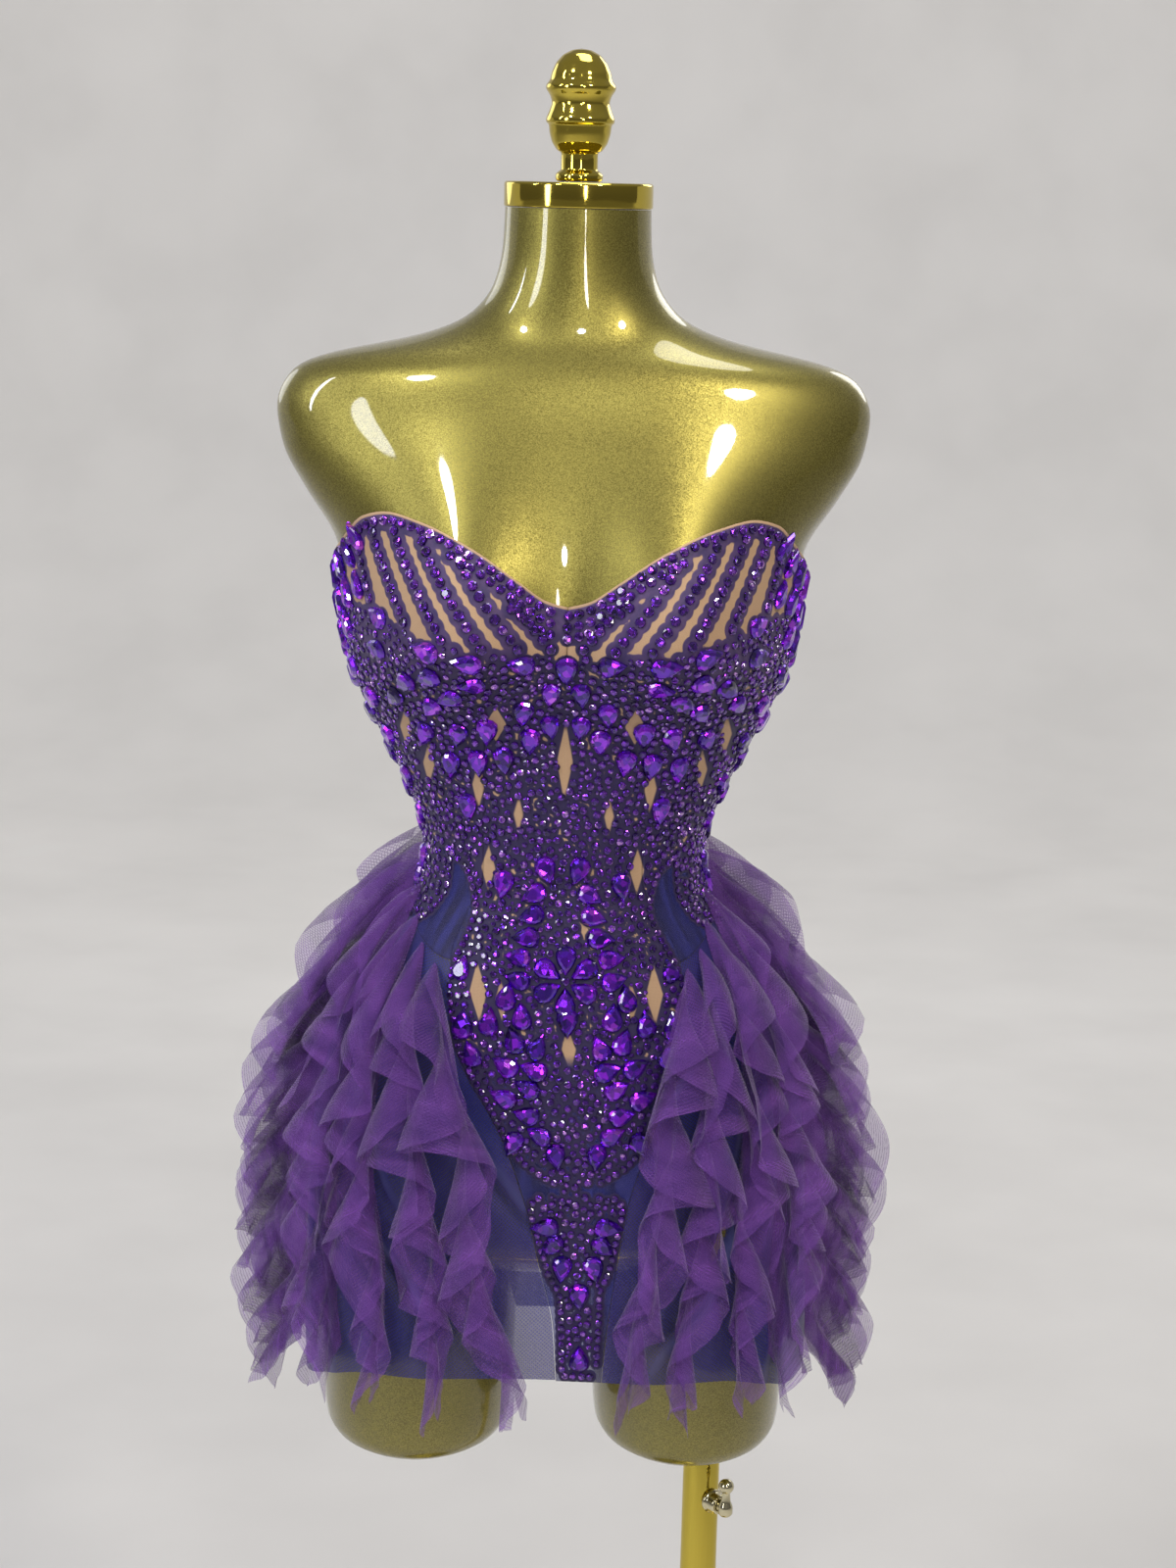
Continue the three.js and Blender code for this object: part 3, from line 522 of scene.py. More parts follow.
def makeForm():
    heights = evenHeights(torsoLow, neck["top"], torsoStep)
    share = smoothCurve(torsoTaper, 1)(heights)
    turns = np.linspace(-180, 180, 181)[:-1]
    rings = skinPoint(turns[None, :], heights[:, None])
    rings[..., :2] *= share[:, None, None]
    torso = ringMesh("form_body", rings, "lacquer")
    cutters = []
    middle, halfWidth, front, back = (smoothCurve(thighRows, column) for column in (1, 2, 3, 4))
    for side in sides.values():
        upper = np.linspace(thighRows[0][0], roundTop + 2, 40)
        low = np.concatenate([upper, np.linspace(roundTop, thighRows[-1][0], 13)])[:, None]
        angle = np.radians(np.arange(0, 360, thighTurn))[None, :] * side
        depth = np.where(np.cos(angle) > 0, front(low), back(low))
        x = side * middle(low) + halfWidth(low) * np.sin(angle)
        y = -np.cos(angle) * depth
        stub = ringMesh("thigh", np.stack([x, y, low + 0 * x], -1)[:, ::side], "lacquer")
        cutters.append((stub, "UNION"))
    socket = turned("socket", [(0, 630), (pole["rod"] + 0.3, 630), (pole["rod"] + 0.3, pole["socketTop"]),
                               (0, pole["socketTop"])], "lacquer", (pole["x"], pole["y"]), 48)
    cutters.append((socket, "DIFFERENCE"))
    for cutter, operation in cutters:
        modifier = torso.modifiers.new(operation.lower(), "BOOLEAN")
        modifier.object, modifier.operation, modifier.solver = cutter, operation, "EXACT"
    applyModifiers(torso)
    for cutter, _ in cutters:
        bpy.data.objects.remove(cutter)
    torso.data.set_sharp_from_angle(angle=math.radians(40))
    finishPiece(torso, "form", "gold_paint", "form_torso")


def makeNeckCapAndFinial():
    low = neck["top"] + neck["gap"]
    top = low + neck["capHeight"]
    radius = neck["capRadius"]
    profile = rounded([(0, low), (radius - 0.6, low), (radius, low + 0.8), (radius, top - 1.2),
                       (radius - 1.2, top), (0, top)], 0.7)
    cap = turned("neck_cap_polished", profile, "gold", (0, neck["middle"]), 128)
    finishPiece(cap, "form", "gold_plate", "neck_cap")
    foot = top + neck["gap"]
    finial = [  # radius, rise
        (0, 0), (14, 0), (15.3, 1.5), (15.3, 4.6), (13.2, 6.4), (11.8, 7.4), (11.8, 18), (14.4, 19.2),
        (17.8, 24), (19.6, 30), (20.2, 35.5), (22, 37), (22, 39.5), (20.2, 43.5), (18.3, 49),
        (19.6, 53.5), (22.4, 57.5),
        (22.4, 60), (19.9, 63.3), (18.9, 68), (16.3, 74), (11.9, 79), (6.2, 82), (0, 83),
    ]
    profile = rounded([(r, foot + rise) for r, rise in finial], 1.6, 5)
    knob = turned("finial_polished", profile, "gold", (0, neck["middle"]))
    finishPiece(knob, "form", "gold_plate", "finial")


makeForm()
makeNeckCapAndFinial()
print("form made")


# the stand
base = {"radius": 190, "thickness": 8, "gap": 0.3, "flange": 34}
clamp = {"height": 598, "aim": 35, "nutRadius": 8.6, "nutLength": 10, "screw": 3.8, "reach": 33, "lever": 15,
         "ball": 5.4}


def alongClamp(piece):  # a piece made upright from the floor's height 0 is laid out from the pole
    turnOut = Matrix.Rotation(math.radians(clamp["aim"]), 4, "Z") @ Matrix.Rotation(math.radians(90), 4, "X")
    piece.data.transform(Matrix.Translation((pole["x"] * mm, pole["y"] * mm, clamp["height"] * mm)) @ turnOut)
    return piece


def makeStand():
    radius, top, at = base["radius"], base["thickness"], (pole["x"], pole["y"])
    profile = rounded([(0, 0), (radius - 1, 0), (radius, 1), (radius, top - 2.5), (radius - 2.5, top),
                       (0, top)], 1.5, 5)
    plate = turned("base_plate_polished", profile, "gold", segments=160)
    finishPiece(plate, "stand", "gold_plate", "base_plate")
    foot, flange, tube = top + base["gap"], base["flange"], pole["tube"]
    inner = tube + 0.3
    collar = rounded([(inner, foot), (flange, foot), (flange, foot + 5), (20, foot + 9), (18, foot + 14),
                      (18, foot + 26), (inner, foot + 26), (inner, foot)], 1.2, 4)
    finishPiece(turned("base_flange_polished", collar, "gold", at), "stand", "gold_plate", "base_flange")
    bore, tubeTop = pole["bore"], pole["tubeTop"]
    profile = rounded([(bore, foot), (tube, foot), (tube, tubeTop), (bore, tubeTop), (bore, foot)], 0.5)
    finishPiece(turned("pole_tube_polished", profile, "gold", at), "stand", "gold_plate", "pole_tube")
    radius, low, top = pole["rod"], pole["rodLow"], pole["rodTop"]
    rod = rounded([(0, low), (radius, low), (radius, top), (0, top)], 0.6)
    finishPiece(turned("pole_rod_polished", rod, "gold", at), "rod", "gold_plate", "pole_rod")


def makeClamp():
    start, radius, length = pole["tube"] + 0.3, clamp["nutRadius"], clamp["nutLength"]
    bore = clamp["screw"] + 0.3
    end = start + length
    boss = rounded([(bore, start), (radius, start), (radius, start + 2), (radius - 1.4, start + 3.4),
                    (radius - 1.8, end - 1), (radius - 2.6, end), (bore, end), (bore, start)], 0.5)
    nut = alongClamp(turned("clamp_nut_polished", boss, "nickel", segments=48))
    finishPiece(nut, "stand", "nickel", "clamp_nut")
    reach, screw = clamp["reach"], clamp["screw"]
    start = pole["rod"] + 0.4
    shaft = rounded([(0, start), (screw, start), (screw, reach - 2), (screw - 2, reach), (0, reach)], 1.4, 5)
    parts = [alongClamp(turned("clamp_screw_polished", shaft, "nickel", segments=32))]
    aim = math.radians(clamp["aim"])
    end = (pole["x"] + math.sin(aim) * (reach - screw), pole["y"] - math.cos(aim) * (reach - screw))
    low, ball = clamp["height"], clamp["ball"]
    middle = low + clamp["lever"] + 2
    stem = [(0, low - 5.4), (3.4, low - 5), (5, low - 3), (5, low + 2), (3.4, low + 6),
            (2.7, middle - ball + 1)]
    knob = [(ball * math.cos(t), middle + ball * math.sin(t)) for t in np.linspace(-1.02, math.pi / 2, 12)]
    parts.append(turned("lever", rounded(stem + knob[:-1] + [(0, middle + ball)], 0.8, 3), "nickel", end, 32))
    screwPiece = joined("clamp_screw_polished", parts)
    finishPiece(screwPiece, "clamp", "nickel", "clamp_screw")


makeStand()
makeClamp()
print("stand made")


# stones: where each one sits
random = np.random.default_rng(7)
cupRows = [  # topX, bottomX, bottomHeight: stones fan from the neckline's peak down and in
    (133, 121, 1233), (122, 98, 1226), (108, 75, 1220), (90, 52, 1216), (66, 30, 1215), (36, 10, 1216),
]
cupRowGap = 11  # from the neckline's edge to each row's first stone
necklineRows = [  # drop below the edge, first and last turn
    (5.2, 0, 178), (12.2, 0, 26), (19.0, 0, 14),
]
underbustDrops = [  # x, height, tilt, length
    (30, 1208, 78, 17), (62, 1210, 82, 18), (86, 1215, 70, 18), (117, 1230, 60, 17), (59, 1195, 100, 16),
    (85, 1198, 105, 18), (118, 1210, 75, 17), (73, 1184, 110, 17), (100, 1191, 120, 18),
    (10, 1187, 172, 16), (27, 1174, 170, 17), (84, 1175, 140, 17), (107, 1178, 130, 17),
    (9.5, 1164, 185, 16), (49, 1160, 172, 18), (67, 1156, 160, 17), (22, 1154, 176, 17),
    (38, 1140, 180, 17), (54, 1137, 172, 17), (88, 1154, 150, 17), (71, 1134, 165, 17),
    (60, 1106, 172, 17),
]
sideDrops = [  # turn, height, tilt, length, slimness
    (56, 1278, 12, 19, 0.6), (63, 1266, 16, 19, 0.55), (71, 1257, 10, 20, 0.55), (80, 1248, 8, 20, 0.55),
    (60, 1247, 20, 18, 0.6), (68, 1240, 16, 19, 0.6), (76, 1231, 14, 19, 0.6), (86, 1226, 8, 20, 0.6),
    (70, 1219, 24, 18, 0.75), (79, 1210, 18, 19, 0.65), (88, 1201, 10, 19, 0.6), (74, 1190, 150, 18, 0.9),
    (83, 1182, 158, 18, 0.75), (66, 1172, 150, 18, 1), (76, 1160, 155, 17, 0.9), (86, 1156, 164, 18, 0.7),
    (68, 1146, 155, 17, 1), (79, 1134, 160, 17, 0.8), (88, 1128, 165, 17, 0.7), (70, 1118, 160, 16, 1),
    (82, 1108, 165, 16, 0.8), (74, 1092, 165, 15, 0.9), (86, 1082, 168, 16, 0.7),
    (78, 1060, 172, 16, 0.9), (86, 1044, 178, 16, 0.8),
]
bellyDrops = [  # offset from the panel's middle, height, tilt, length
    (10, 1067, 200, 17), (37, 1056, 172, 17), (18, 1051, 120, 16), (20, 1037, 110, 16),
    (24, 1023, 95, 17), (30, 1010, 85, 16), (31, 996, 75, 16), (38, 985, 0, 17), (66, 1000, 0, 15),
    (29, 973, 10, 17), (50, 968, 4, 17), (67, 965, 8, 18), (35, 957, 24, 17), (20, 953, 340, 16),
    (42, 940, 62, 17), (24, 938, 70, 17), (63, 946, 30, 16), (29, 926, 60, 16), (45, 919, 66, 17),
    (31, 908, 76, 16), (24, 895, 62, 16), (13, 880, 190, 16), (41, 888, 160, 16), (21, 832, 96, 17),
    (17, 819, 130, 16), (10.5, 803, 172, 17),
]
centreDrops = [  # offset from the panel's middle, height, tilt, length
    (0, 1203, 180, 18), (0, 969, 180, 18), (0, 784, 180, 17), (0, 742, 0, 16),
]
dropCircles = ((-0.16, 0.36), (0.12, 0.27), (0.36, 0.12))  # a drop in circles: place and radius over length
sideStep = {"from": 60, "perTurn": 2.4}  # round the side a drop is placed by millimetres a degree
flower = {"height": 996, "petals": 6, "reach": 13, "length": 17}
bareSpots = [  # x from the panel's middle, height, halfWidth, halfHeight: skin-tone mesh left clear
    (0, 1141, 3.4, 23), (44, 1166, 5, 9), (55, 1122, 2.4, 13), (88, 1132, 2.2, 11), (48, 1066, 3, 11),
    (57, 986, 4, 15), (42, 982, 2.4, 9), (0, 952, 3, 11), (103, 1156, 2.4, 11), (29, 1104, 1.4, 8),
]
beadRows = [  # height, half width of the beading about the front panel's middle
    (1076, 76), (1060, 60), (1040, 56), (1020, 63), (1004, 71), (985, 76), (960, 74), (940, 69),
    (920, 59), (900, 50), (885, 43), (874, 34), (866, 22), (860, 13), (856, 13), (851, 28), (845, 31),
    (820, 26), (800, 21), (785, 14.5), (727, 12.5),
]
hipPoint = [  # height, inner edge of the beaded point over the hip
    (1076, 68), (1050, 70), (1032, 79), (1020, 92),
]
beaded = {"turn": 91, "top": 1212, "bow": 0.00115, "waist": 1076, "pointLow": 1022, "inset": 4}
borders = {"panel": ((1074, 861), (852, 733)), "panelIn": 1.5, "hip": (1072, 1023), "hipIn": 2.5,
           "tip": 727, "tipHalf": 9, "tipRise": 4}
backRows = {"turns": (100, 112, 124, 136, 148, 160, 171), "pitch": 7.6, "drop": 12, "low": 1040,
            "uneven": 30}
sizes = {"row": 3.6, "rowPitch": 8.1, "edge": 2.5, "edgePitch": 5.6, "centre": 3.0, "gap": 0.1,
         "fill": (2.7, 2.3, 1.9, 1.6, 1.3), "tries": 12000, "unsteady": 0.25, "lean": 0.05,
         "tall": 0.95, "dropLong": 1.16, "glue": 0.15, "dropGlue": 0.2}

stones = []  # turn, height, radius
drops = []  # turn, height, tilt, length


def rowOfStones(turns, heights, radius, pitch):  # stones at an even pitch along a line on the cloth
    line = dressPoint(turns, heights, np.zeros(len(turns)))
    run = np.concatenate([[0], np.cumsum(np.linalg.norm(np.diff(line, axis=0), axis=1))])
    for place in np.arange(0, run[-1] + 0.1, pitch):
        place += random.normal(0, sizes["unsteady"])
        turn, height = np.interp(place, run, turns), np.interp(place, run, heights)
        stones.append((turn, height, radius * random.uniform(0.94, 1.05)))


def layOutCups():
    for side in sides.values():
        for topX, bottomX, bottomHeight in cupRows:
            topTurn = turnAtX(topX, 1285)
            topHeight = edges["neckline"](topTurn) - cupRowGap
            t = np.linspace(0, 1, 24)
            heights = topHeight + (bottomHeight - topHeight) * t
            x = topX + (bottomX - topX) * (t**1.15)
            rowOfStones(side * turnAtX(x, heights), heights, sizes["row"], sizes["rowPitch"])
        for drop, first, last in necklineRows:
            turns = np.linspace(first + (3.2 if side < 0 or first else 0), last, 240)
            heights = edges["neckline"](turns) - drop
            rowOfStones(side * turns, heights, sizes["row"] * 0.92, sizes["rowPitch"] * 0.94)


def layOutDrops():
    for side in sides.values():
        for x, height, tilt, length in underbustDrops:
            drops.append((side * turnAtX(x, height), height, side * tilt, length, 1))
        for turn, height, tilt, length, slim in sideDrops:
            drops.append((side * turn, height, side * tilt, length, slim))
        for offset, height, tilt, length in bellyDrops:
            x = panelMiddle(height) + side * offset
            drops.append((turnAtX(x, height), height, side * tilt, length, 1))
    for offset, height, tilt, length in centreDrops:
        drops.append((turnAtX(panelMiddle(height) + offset, height), height, tilt, length, 1))
    for petal in range(flower["petals"]):
        angle = 360 * petal / flower["petals"]
        x = panelMiddle(flower["height"]) + flower["reach"] * math.sin(math.radians(angle))
        height = flower["height"] + flower["reach"] * math.cos(math.radians(angle))
        drops.append((turnAtX(x, height), height, angle + 180, flower["length"], 1))
    height = flower["height"]
    stones.append((turnAtX(panelMiddle(height), height), height, sizes["centre"]))


beadHalf = smoothCurve(beadRows, 1)
hipInner = smoothCurve(hipPoint, 1)


def layOutBorders():
    for side in sides.values():
        for high, low in borders["panel"]:
            heights = np.linspace(high, low, 240)
            x = panelMiddle(heights) + side * (beadHalf(heights) - borders["panelIn"])
            rowOfStones(turnAtX(x, heights), heights, sizes["edge"], sizes["edgePitch"])
        heights = np.linspace(*borders["hip"], 60)
        turns = turnAtX(side * (hipInner(heights) + borders["hipIn"]), heights)
        rowOfStones(turns, heights, sizes["edge"], sizes["edgePitch"])
        for turn in backRows["turns"]:
            top = edges["neckline"](turn) - backRows["drop"]
            heights = np.linspace(top, backRows["low"] + backRows["uneven"] * math.sin(turn), 60)
            rowOfStones(np.full(60, side * turn * 1.0), heights, sizes["row"] * 0.9, backRows["pitch"])
    x = np.linspace(-borders["tipHalf"], borders["tipHalf"], 30) + panelMiddle(borders["tip"])
    heights = edges["hem"](np.abs(turnAtX(x, borders["tip"]))) + borders["tipRise"]
    rowOfStones(turnAtX(x, borders["tip"] + 3), heights, sizes["edge"], sizes["edgePitch"])


def inBareSpot(x, height):  # or within the clear margin round it
    inside, margin = np.zeros(np.shape(x), bool), 2
    for spotX, spotHeight, halfWidth, halfHeight in bareSpots:
        up = (height - spotHeight) / (halfHeight + margin)
        for side in (-1, 1):
            aside = (x - side * spotX) / (halfWidth + margin)
            inside |= aside**2 + up**2 < 1
    return inside


def onBeadedFront(turn, height):
    x = skinPoint(turn, height)[..., 0]
    offset = np.abs(x - panelMiddle(height))
    above = (height > beaded["waist"]) & (height < beaded["top"] + beaded["bow"] * x * x)
    point = (height > beaded["pointLow"]) & (np.abs(x) > hipInner(height) + beaded["inset"])
    below = (height <= beaded["waist"]) & ((offset < beadHalf(height) - beaded["inset"]) | point)
    return (np.abs(turn) < beaded["turn"]) & (above | below)


def dropDiscs(turn, height, tilt, length, slim):  # a drop as three discs, from its round end to its tip
    up, aside = math.cos(math.radians(tilt)), math.sin(math.radians(tilt))
    for along, radius in dropCircles:
        move = along * length
        if abs(turn) < sideStep["from"]:
            place = turnAtX(skinPoint(turn, height)[0] + move * aside, height)
        else:
            place = turn + move * aside / sideStep["perTurn"]
        yield place, height + move * up, radius * length * (0.3 + 0.7 * slim)


def clothPlace(turn, height):
    return dressPoint(np.array(float(turn)), np.array(float(height)), np.array(cloth["wall"]))


class Spacing:  # remembers what is already set, in cells, so that stones never overlap
    def __init__(self, cell=12.0):
        self.cell, self.cells = cell, {}

    def key(self, place):
        return tuple(int(math.floor(v / self.cell)) for v in place)

    def add(self, place, radius):
        self.cells.setdefault(self.key(place), []).append((place, radius))

    def isClear(self, place, radius):
        i, j, k = self.key(place)
        for a in (i - 1, i, i + 1):
            for b in (j - 1, j, j + 1):
                for c in (k - 1, k, k + 1):
                    for other, reach in self.cells.get((a, b, c), ()):
                        apart = sum((p - q) ** 2 for p, q in zip(place, other))
                        if apart < (radius + reach + sizes["gap"]) ** 2:
                            return False
        return True


def layOutFill():  # small stones strewn between the large ones, clear of the bare spots
    spacing = Spacing()
    for turn, height, radius in stones:
        spacing.add(clothPlace(turn, height), radius)
    for drop in drops:
        for turn, height, radius in dropDiscs(*drop):
            spacing.add(clothPlace(turn, height), radius)
    for radius in sizes["fill"]:
        count = sizes["tries"]
        heights = random.uniform(736, 1238, count)
        turns = turnAtArc(random.uniform(-215, 215, count), heights)
        offsets = skinPoint(turns, heights)[:, 0] - panelMiddle(heights)
        fits = onBeadedFront(turns, heights) & ~inBareSpot(offsets, heights)
        places = dressPoint(turns, heights, np.full(count, cloth["wall"]))
        for i in np.flatnonzero(fits):
            if spacing.isClear(places[i], radius):
                spacing.add(places[i], radius)
                stones.append((turns[i], heights[i], radius))


layOutCups()
layOutDrops()
layOutBorders()
layOutFill()
stoneTable = np.array(stones, float)
dropTable = np.array(drops, float)
print("stones laid out:", len(stoneTable), "round and", len(dropTable), "drops")


# stones: their cut and their setting
def brilliant(name, rings, material):  # outlines from the girdle up, with flat facets between them
    points = [p for ring in rings for p in ring]
    count = len(rings[0])
    faces = [list(range(count))[::-1]]
    for level in range(len(rings) - 1):
        for i in range(count):
            a, b = level * count + i, level * count + (i + 1) % count
            faces += [[a, b, a + count], [b, b + count, a + count]]
    faces.append(list(range((len(rings) - 1) * count, len(rings) * count)))
    return newPiece(name, points, faces, material, smooth=False)


def roundCut():  # one millimetre in radius
    def outline(radius, height, turn):
        angles = np.arange(8) * math.pi / 4 + turn
        return [(radius * math.cos(a), radius * math.sin(a), height) for a in angles]

    girdle, shoulder, table = outline(1, 0, 0), outline(0.9, 0.42, math.pi / 8), outline(0.56, 0.64, 0)
    return brilliant("roundCut", [girdle, shoulder, table], "stone")


def dropCut():  # one millimetre long, its tip up
    angles = np.arange(14) * math.pi / 7

    def outline(scale, height):
        x = 0.475 * np.sin(angles) * np.abs(np.sin(angles / 2)) ** 1.15
        y = 0.5 * np.cos(angles)
        return [(scale * a, scale * (b + 0.1) - 0.1, height) for a, b in zip(x, y)]

    levels = [outline(scale, height) for scale, height in ((1, 0), (0.99, 0.06), (0.84, 0.15), (0.6, 0.21))]
    return brilliant("dropCut", levels, "pear")


def settingTree(material):  # puts a cut stone on every point, turned and sized by the point's own values
    tree = bpy.data.node_groups.new("set stones", "GeometryNodeTree")
    for name, way, kind in (("Places", "INPUT", "Geometry"), ("Cut", "INPUT", "Object"),
                            ("Height", "INPUT", "Float"), ("Stones", "OUTPUT", "Geometry")):
        tree.interface.new_socket(name=name, in_out=way, socket_type="NodeSocket" + kind)
    add = partial(addNode, tree)

    def pointValue(name, kind="FLOAT"):
        return add("GeometryNodeInputNamedAttribute", {"Name": name}, data_type=kind).outputs[0]

    given = add("NodeGroupInput").outputs
    size = pointValue("stoneSize")
    facing, along = pointValue("facing", "FLOAT_VECTOR"), pointValue("along", "FLOAT_VECTOR")
    upright = add("FunctionNodeAlignRotationToVector", {"Vector": facing}, axis="Z")
    aimed = add("FunctionNodeAlignRotationToVector", {"Rotation": upright.outputs[0], "Vector": along},
                axis="Y", pivot_axis="Z")
    tall = add("Math", {0: size, 1: given["Height"]}, operation="MULTIPLY")
    wide = add("Math", {0: size, 1: pointValue("slimness")}, operation="MULTIPLY")
    scale = add("CombineXYZ", {"X": wide.outputs[0], "Y": size, "Z": tall.outputs[0]})
    cut = add("GeometryNodeObjectInfo", {"Object": given["Cut"]})
    put = add("GeometryNodeInstanceOnPoints", {
        "Points": given["Places"], "Instance": cut.outputs["Geometry"], "Rotation": aimed.outputs[0],
        "Scale": scale.outputs[0]})
    real = add("GeometryNodeRealizeInstances", {0: put.outputs[0]})
    dressed = add("GeometryNodeSetMaterial", {"Geometry": real.outputs[0], "Material": material})
    add("NodeGroupOutput", {0: dressed.outputs[0]})
    return tree


def setStones(name, cut, tree, places, facing, along, size, height, slim=1.0):
    piece = newPiece(name, places, [], "stone", smooth=False)
    setAttribute(piece, "facing", facing, "FLOAT_VECTOR")
    setAttribute(piece, "along", along, "FLOAT_VECTOR")
    setAttribute(piece, "stoneSize", size)
    setAttribute(piece, "slimness", np.broadcast_to(slim, len(places)))
    setAttribute(piece, "tint", random.uniform(0, 1, len(places)))
    modifier = piece.modifiers.new("setting", "NODES")
    modifier.node_group = tree
    identifiers = {item.name: item.identifier for item in tree.interface.items_tree if item.in_out == "INPUT"}
    modifier[identifiers["Cut"]] = cut
    modifier[identifiers["Height"]] = height
    applyModifiers(piece)
    return piece


def makeStones():
    turn, height, radius = stoneTable.T
    roundStone, dropStone = roundCut(), dropCut()
    facing = unit(skinNormal(turn, height) + random.normal(0, sizes["lean"], (len(turn), 3)))
    aside = random.normal(0, 1, (len(turn), 3))
    tree = settingTree(materials["stone"])
    places = dressPoint(turn, height, np.full(len(turn), cloth["wall"] + sizes["glue"]))
    atFront = np.abs(turn) < frontTurn
    for name, chosen in (("stones_front", atFront), ("stones_back", ~atFront)):
        picked = [column[chosen] for column in (places, facing, aside, radius)]
        piece = setStones(name, roundStone, tree, *picked, sizes["tall"])
        finishPiece(piece, "form", "rhinestone")
    turn, height, tilt, length, slim = dropTable.T
    facing = unit(skinNormal(turn, height) + random.normal(0, sizes["lean"], (len(turn), 3)))
    around = skinPoint(turn + 2, height) - skinPoint(turn - 2, height)
    up = skinPoint(turn, height + 2) - skinPoint(turn, height - 2)
    angle = np.radians(tilt)[:, None]
    along = unit(up) * np.cos(angle) + unit(around) * np.sin(angle)
    places = dressPoint(turn, height, np.full(len(turn), cloth["wall"] + sizes["dropGlue"]))
    piece = setStones("stones_drops", dropStone, settingTree(materials["pear"]), places, facing, along,
                      length * sizes["dropLong"], 1.0, slim)
    finishPiece(piece, "form", "rhinestone")
    for cut in (roundStone, dropStone):
        bpy.data.objects.remove(cut)


makeStones()
print("stones set")


# bodice and skirt panels
skirtCreases = [  # turn, height, run, slant, depth, width
    (18, 905, 60, 50, 1.6, 5), (-20, 880, 70, -48, 1.8, 6), (-38, 800, 80, -42, 2.0, 6),
    (30, 790, 70, 38, 1.6, 6), (44, 860, 90, 30, 2.0, 7), (-52, 900, 80, -35, 1.6, 6),
    (60, 760, 60, 20, 1.8, 8), (-64, 770, 70, -22, 1.8, 8), (110, 880, 80, -30, 2.0, 7),
    (-118, 850, 90, 34, 2.2, 7), (140, 790, 80, -40, 1.8, 7), (-150, 800, 70, 42, 1.8, 6),
    (165, 900, 60, -48, 1.4, 5), (-128, 930, 60, 20, 1.6, 6), (90, 930, 70, 12, 1.8, 7),
    (-92, 930, 70, -10, 1.8, 7),
]
# trough, bank, bankOut, bend and bendLength shape the creases; darkWidth, light, lightWidth and lightOut size
# their painted shade and painted highlight
creaseForm = {"trough": 1.5, "bank": 0.8, "bankOut": 1.9, "bend": 4, "bendLength": 19,
              "darkWidth": 0.5, "light": 0.6, "lightWidth": 0.6, "lightOut": 1.1}
skirtWave = {"depth": 2.8, "count": 9, "from": 830, "fade": 120}  # the hem's slack, in waves


def creaseShape(turn, height):
    scale = figureValue("halfWidth", height) * math.pi / 180
    out, folds = np.zeros(np.shape(turn)), np.zeros(np.shape(turn))
    form = creaseForm
    for atTurn, atHeight, run, slant, depth, width in skirtCreases:
        u, v = (turn - atTurn) * scale, height - atHeight
        s, c = math.sin(math.radians(slant)), math.cos(math.radians(slant))
        across, along = u * c - v * s, u * s + v * c
        across = across + form["bend"] * np.sin(along / form["bendLength"] + atTurn)
        window = np.exp(-((along / run) ** 4))
        bank = np.abs(across) - form["bankOut"] * width
        lit = across - form["lightOut"] * width
        out -= form["trough"] * depth * window * np.exp(-((across / width) ** 2))
        out += form["bank"] * depth * window * np.exp(-((bank / width) ** 2))
        # painted shade along each trough and a painted highlight on its lit bank, for the colour only; out
        # above is the real shape
        folds -= window * np.exp(-((across / (form["darkWidth"] * width)) ** 2))
        folds += form["light"] * window * np.exp(-((lit / (form["lightWidth"] * width)) ** 2))
    slack = np.clip((skirtWave["from"] - height) / skirtWave["fade"], 0, 1) ** 1.5
    wave = skirtWave["depth"] * np.sin(np.radians(turn) * skirtWave["count"] + 1.2 * np.sin(height / 40))
    return out + slack * wave, folds


def panelGrid(columns, rows, start, end, top, bottom):
    across = np.linspace(0, 1, columns)[None, :]
    down = np.linspace(0, 1, rows)[:, None]
    turn = start(1000.0) + (end(1000.0) - start(1000.0)) * across + 0 * down
    for _ in range(14):
        height = top(turn) + (bottom(turn) - top(turn)) * down
        turn = start(height) + (end(height) - start(height)) * across
    return turn, height


def toTurns(length, height):
    return length / (figureValue("halfWidth", height) * math.pi / 180)


half = cloth["seam"] / 2
applique = {"roundCup": 3.4, "round": 1.8, "drop": 1.9, "binding": 1.5, "window": 3.5,
            "pointAside": 1.5, "pointUp": 3.5}  # how far the lace reaches past what it follows
panelWall = {"outside": cloth["wall"], "inside": 0.2, "sheer": 0.7}  # off the figure's ease
blueNet = {"besideBelow": 1080, "below": 948, "edge": 3}  # the heights where it starts
crowded = {"above": 34, "fade": 14, "turn": 95}  # the lace under the close beading is painted darker: painted shade between the close-set stones
organza = {"hem": 7, "hemDensity": 0.8, "sideFrom": 45, "sideFade": 40, "sideDensity": 0.45,
           "creaseDensity": 0.8}
cupReach = 26  # above the underbust seam, where the rows stand on their own strips of lace
edgeLines = {
    "panel": lambda side, out: lambda h: turnAtX(panelMiddle(h) + side * (panelHalfWidth(h) + out), h),
    "side": lambda side, out: lambda h: side * (90 + toTurns(out, h)),
    "front": lambda side, out: lambda h: side * turnAtX(out, h),
    "back": lambda side, out: lambda h: side * (180 - turnAtX(out, h)),
}


def appliqueDiscs():
    turn, height, radius = stoneTable.T
    inCup = height > edges["underbust"](np.abs(turn)) + cupReach
    reach = np.where(inCup, applique["roundCup"], applique["round"])
    rounds = np.column_stack([turn, height, radius + reach])
    tears = [(t, h, r + applique["drop"]) for drop in drops for t, h, r in dropDiscs(*drop)]
    return np.concatenate([rounds, np.array(tears)])


discs = appliqueDiscs()
discPlaces = dressPoint(discs[:, 0], discs[:, 1], np.full(len(discs), cloth["wall"]))
discTree = kdtree.KDTree(len(discs))
for index, discPlace in enumerate(discPlaces):
    discTree.insert(discPlace, index)
discTree.balance()


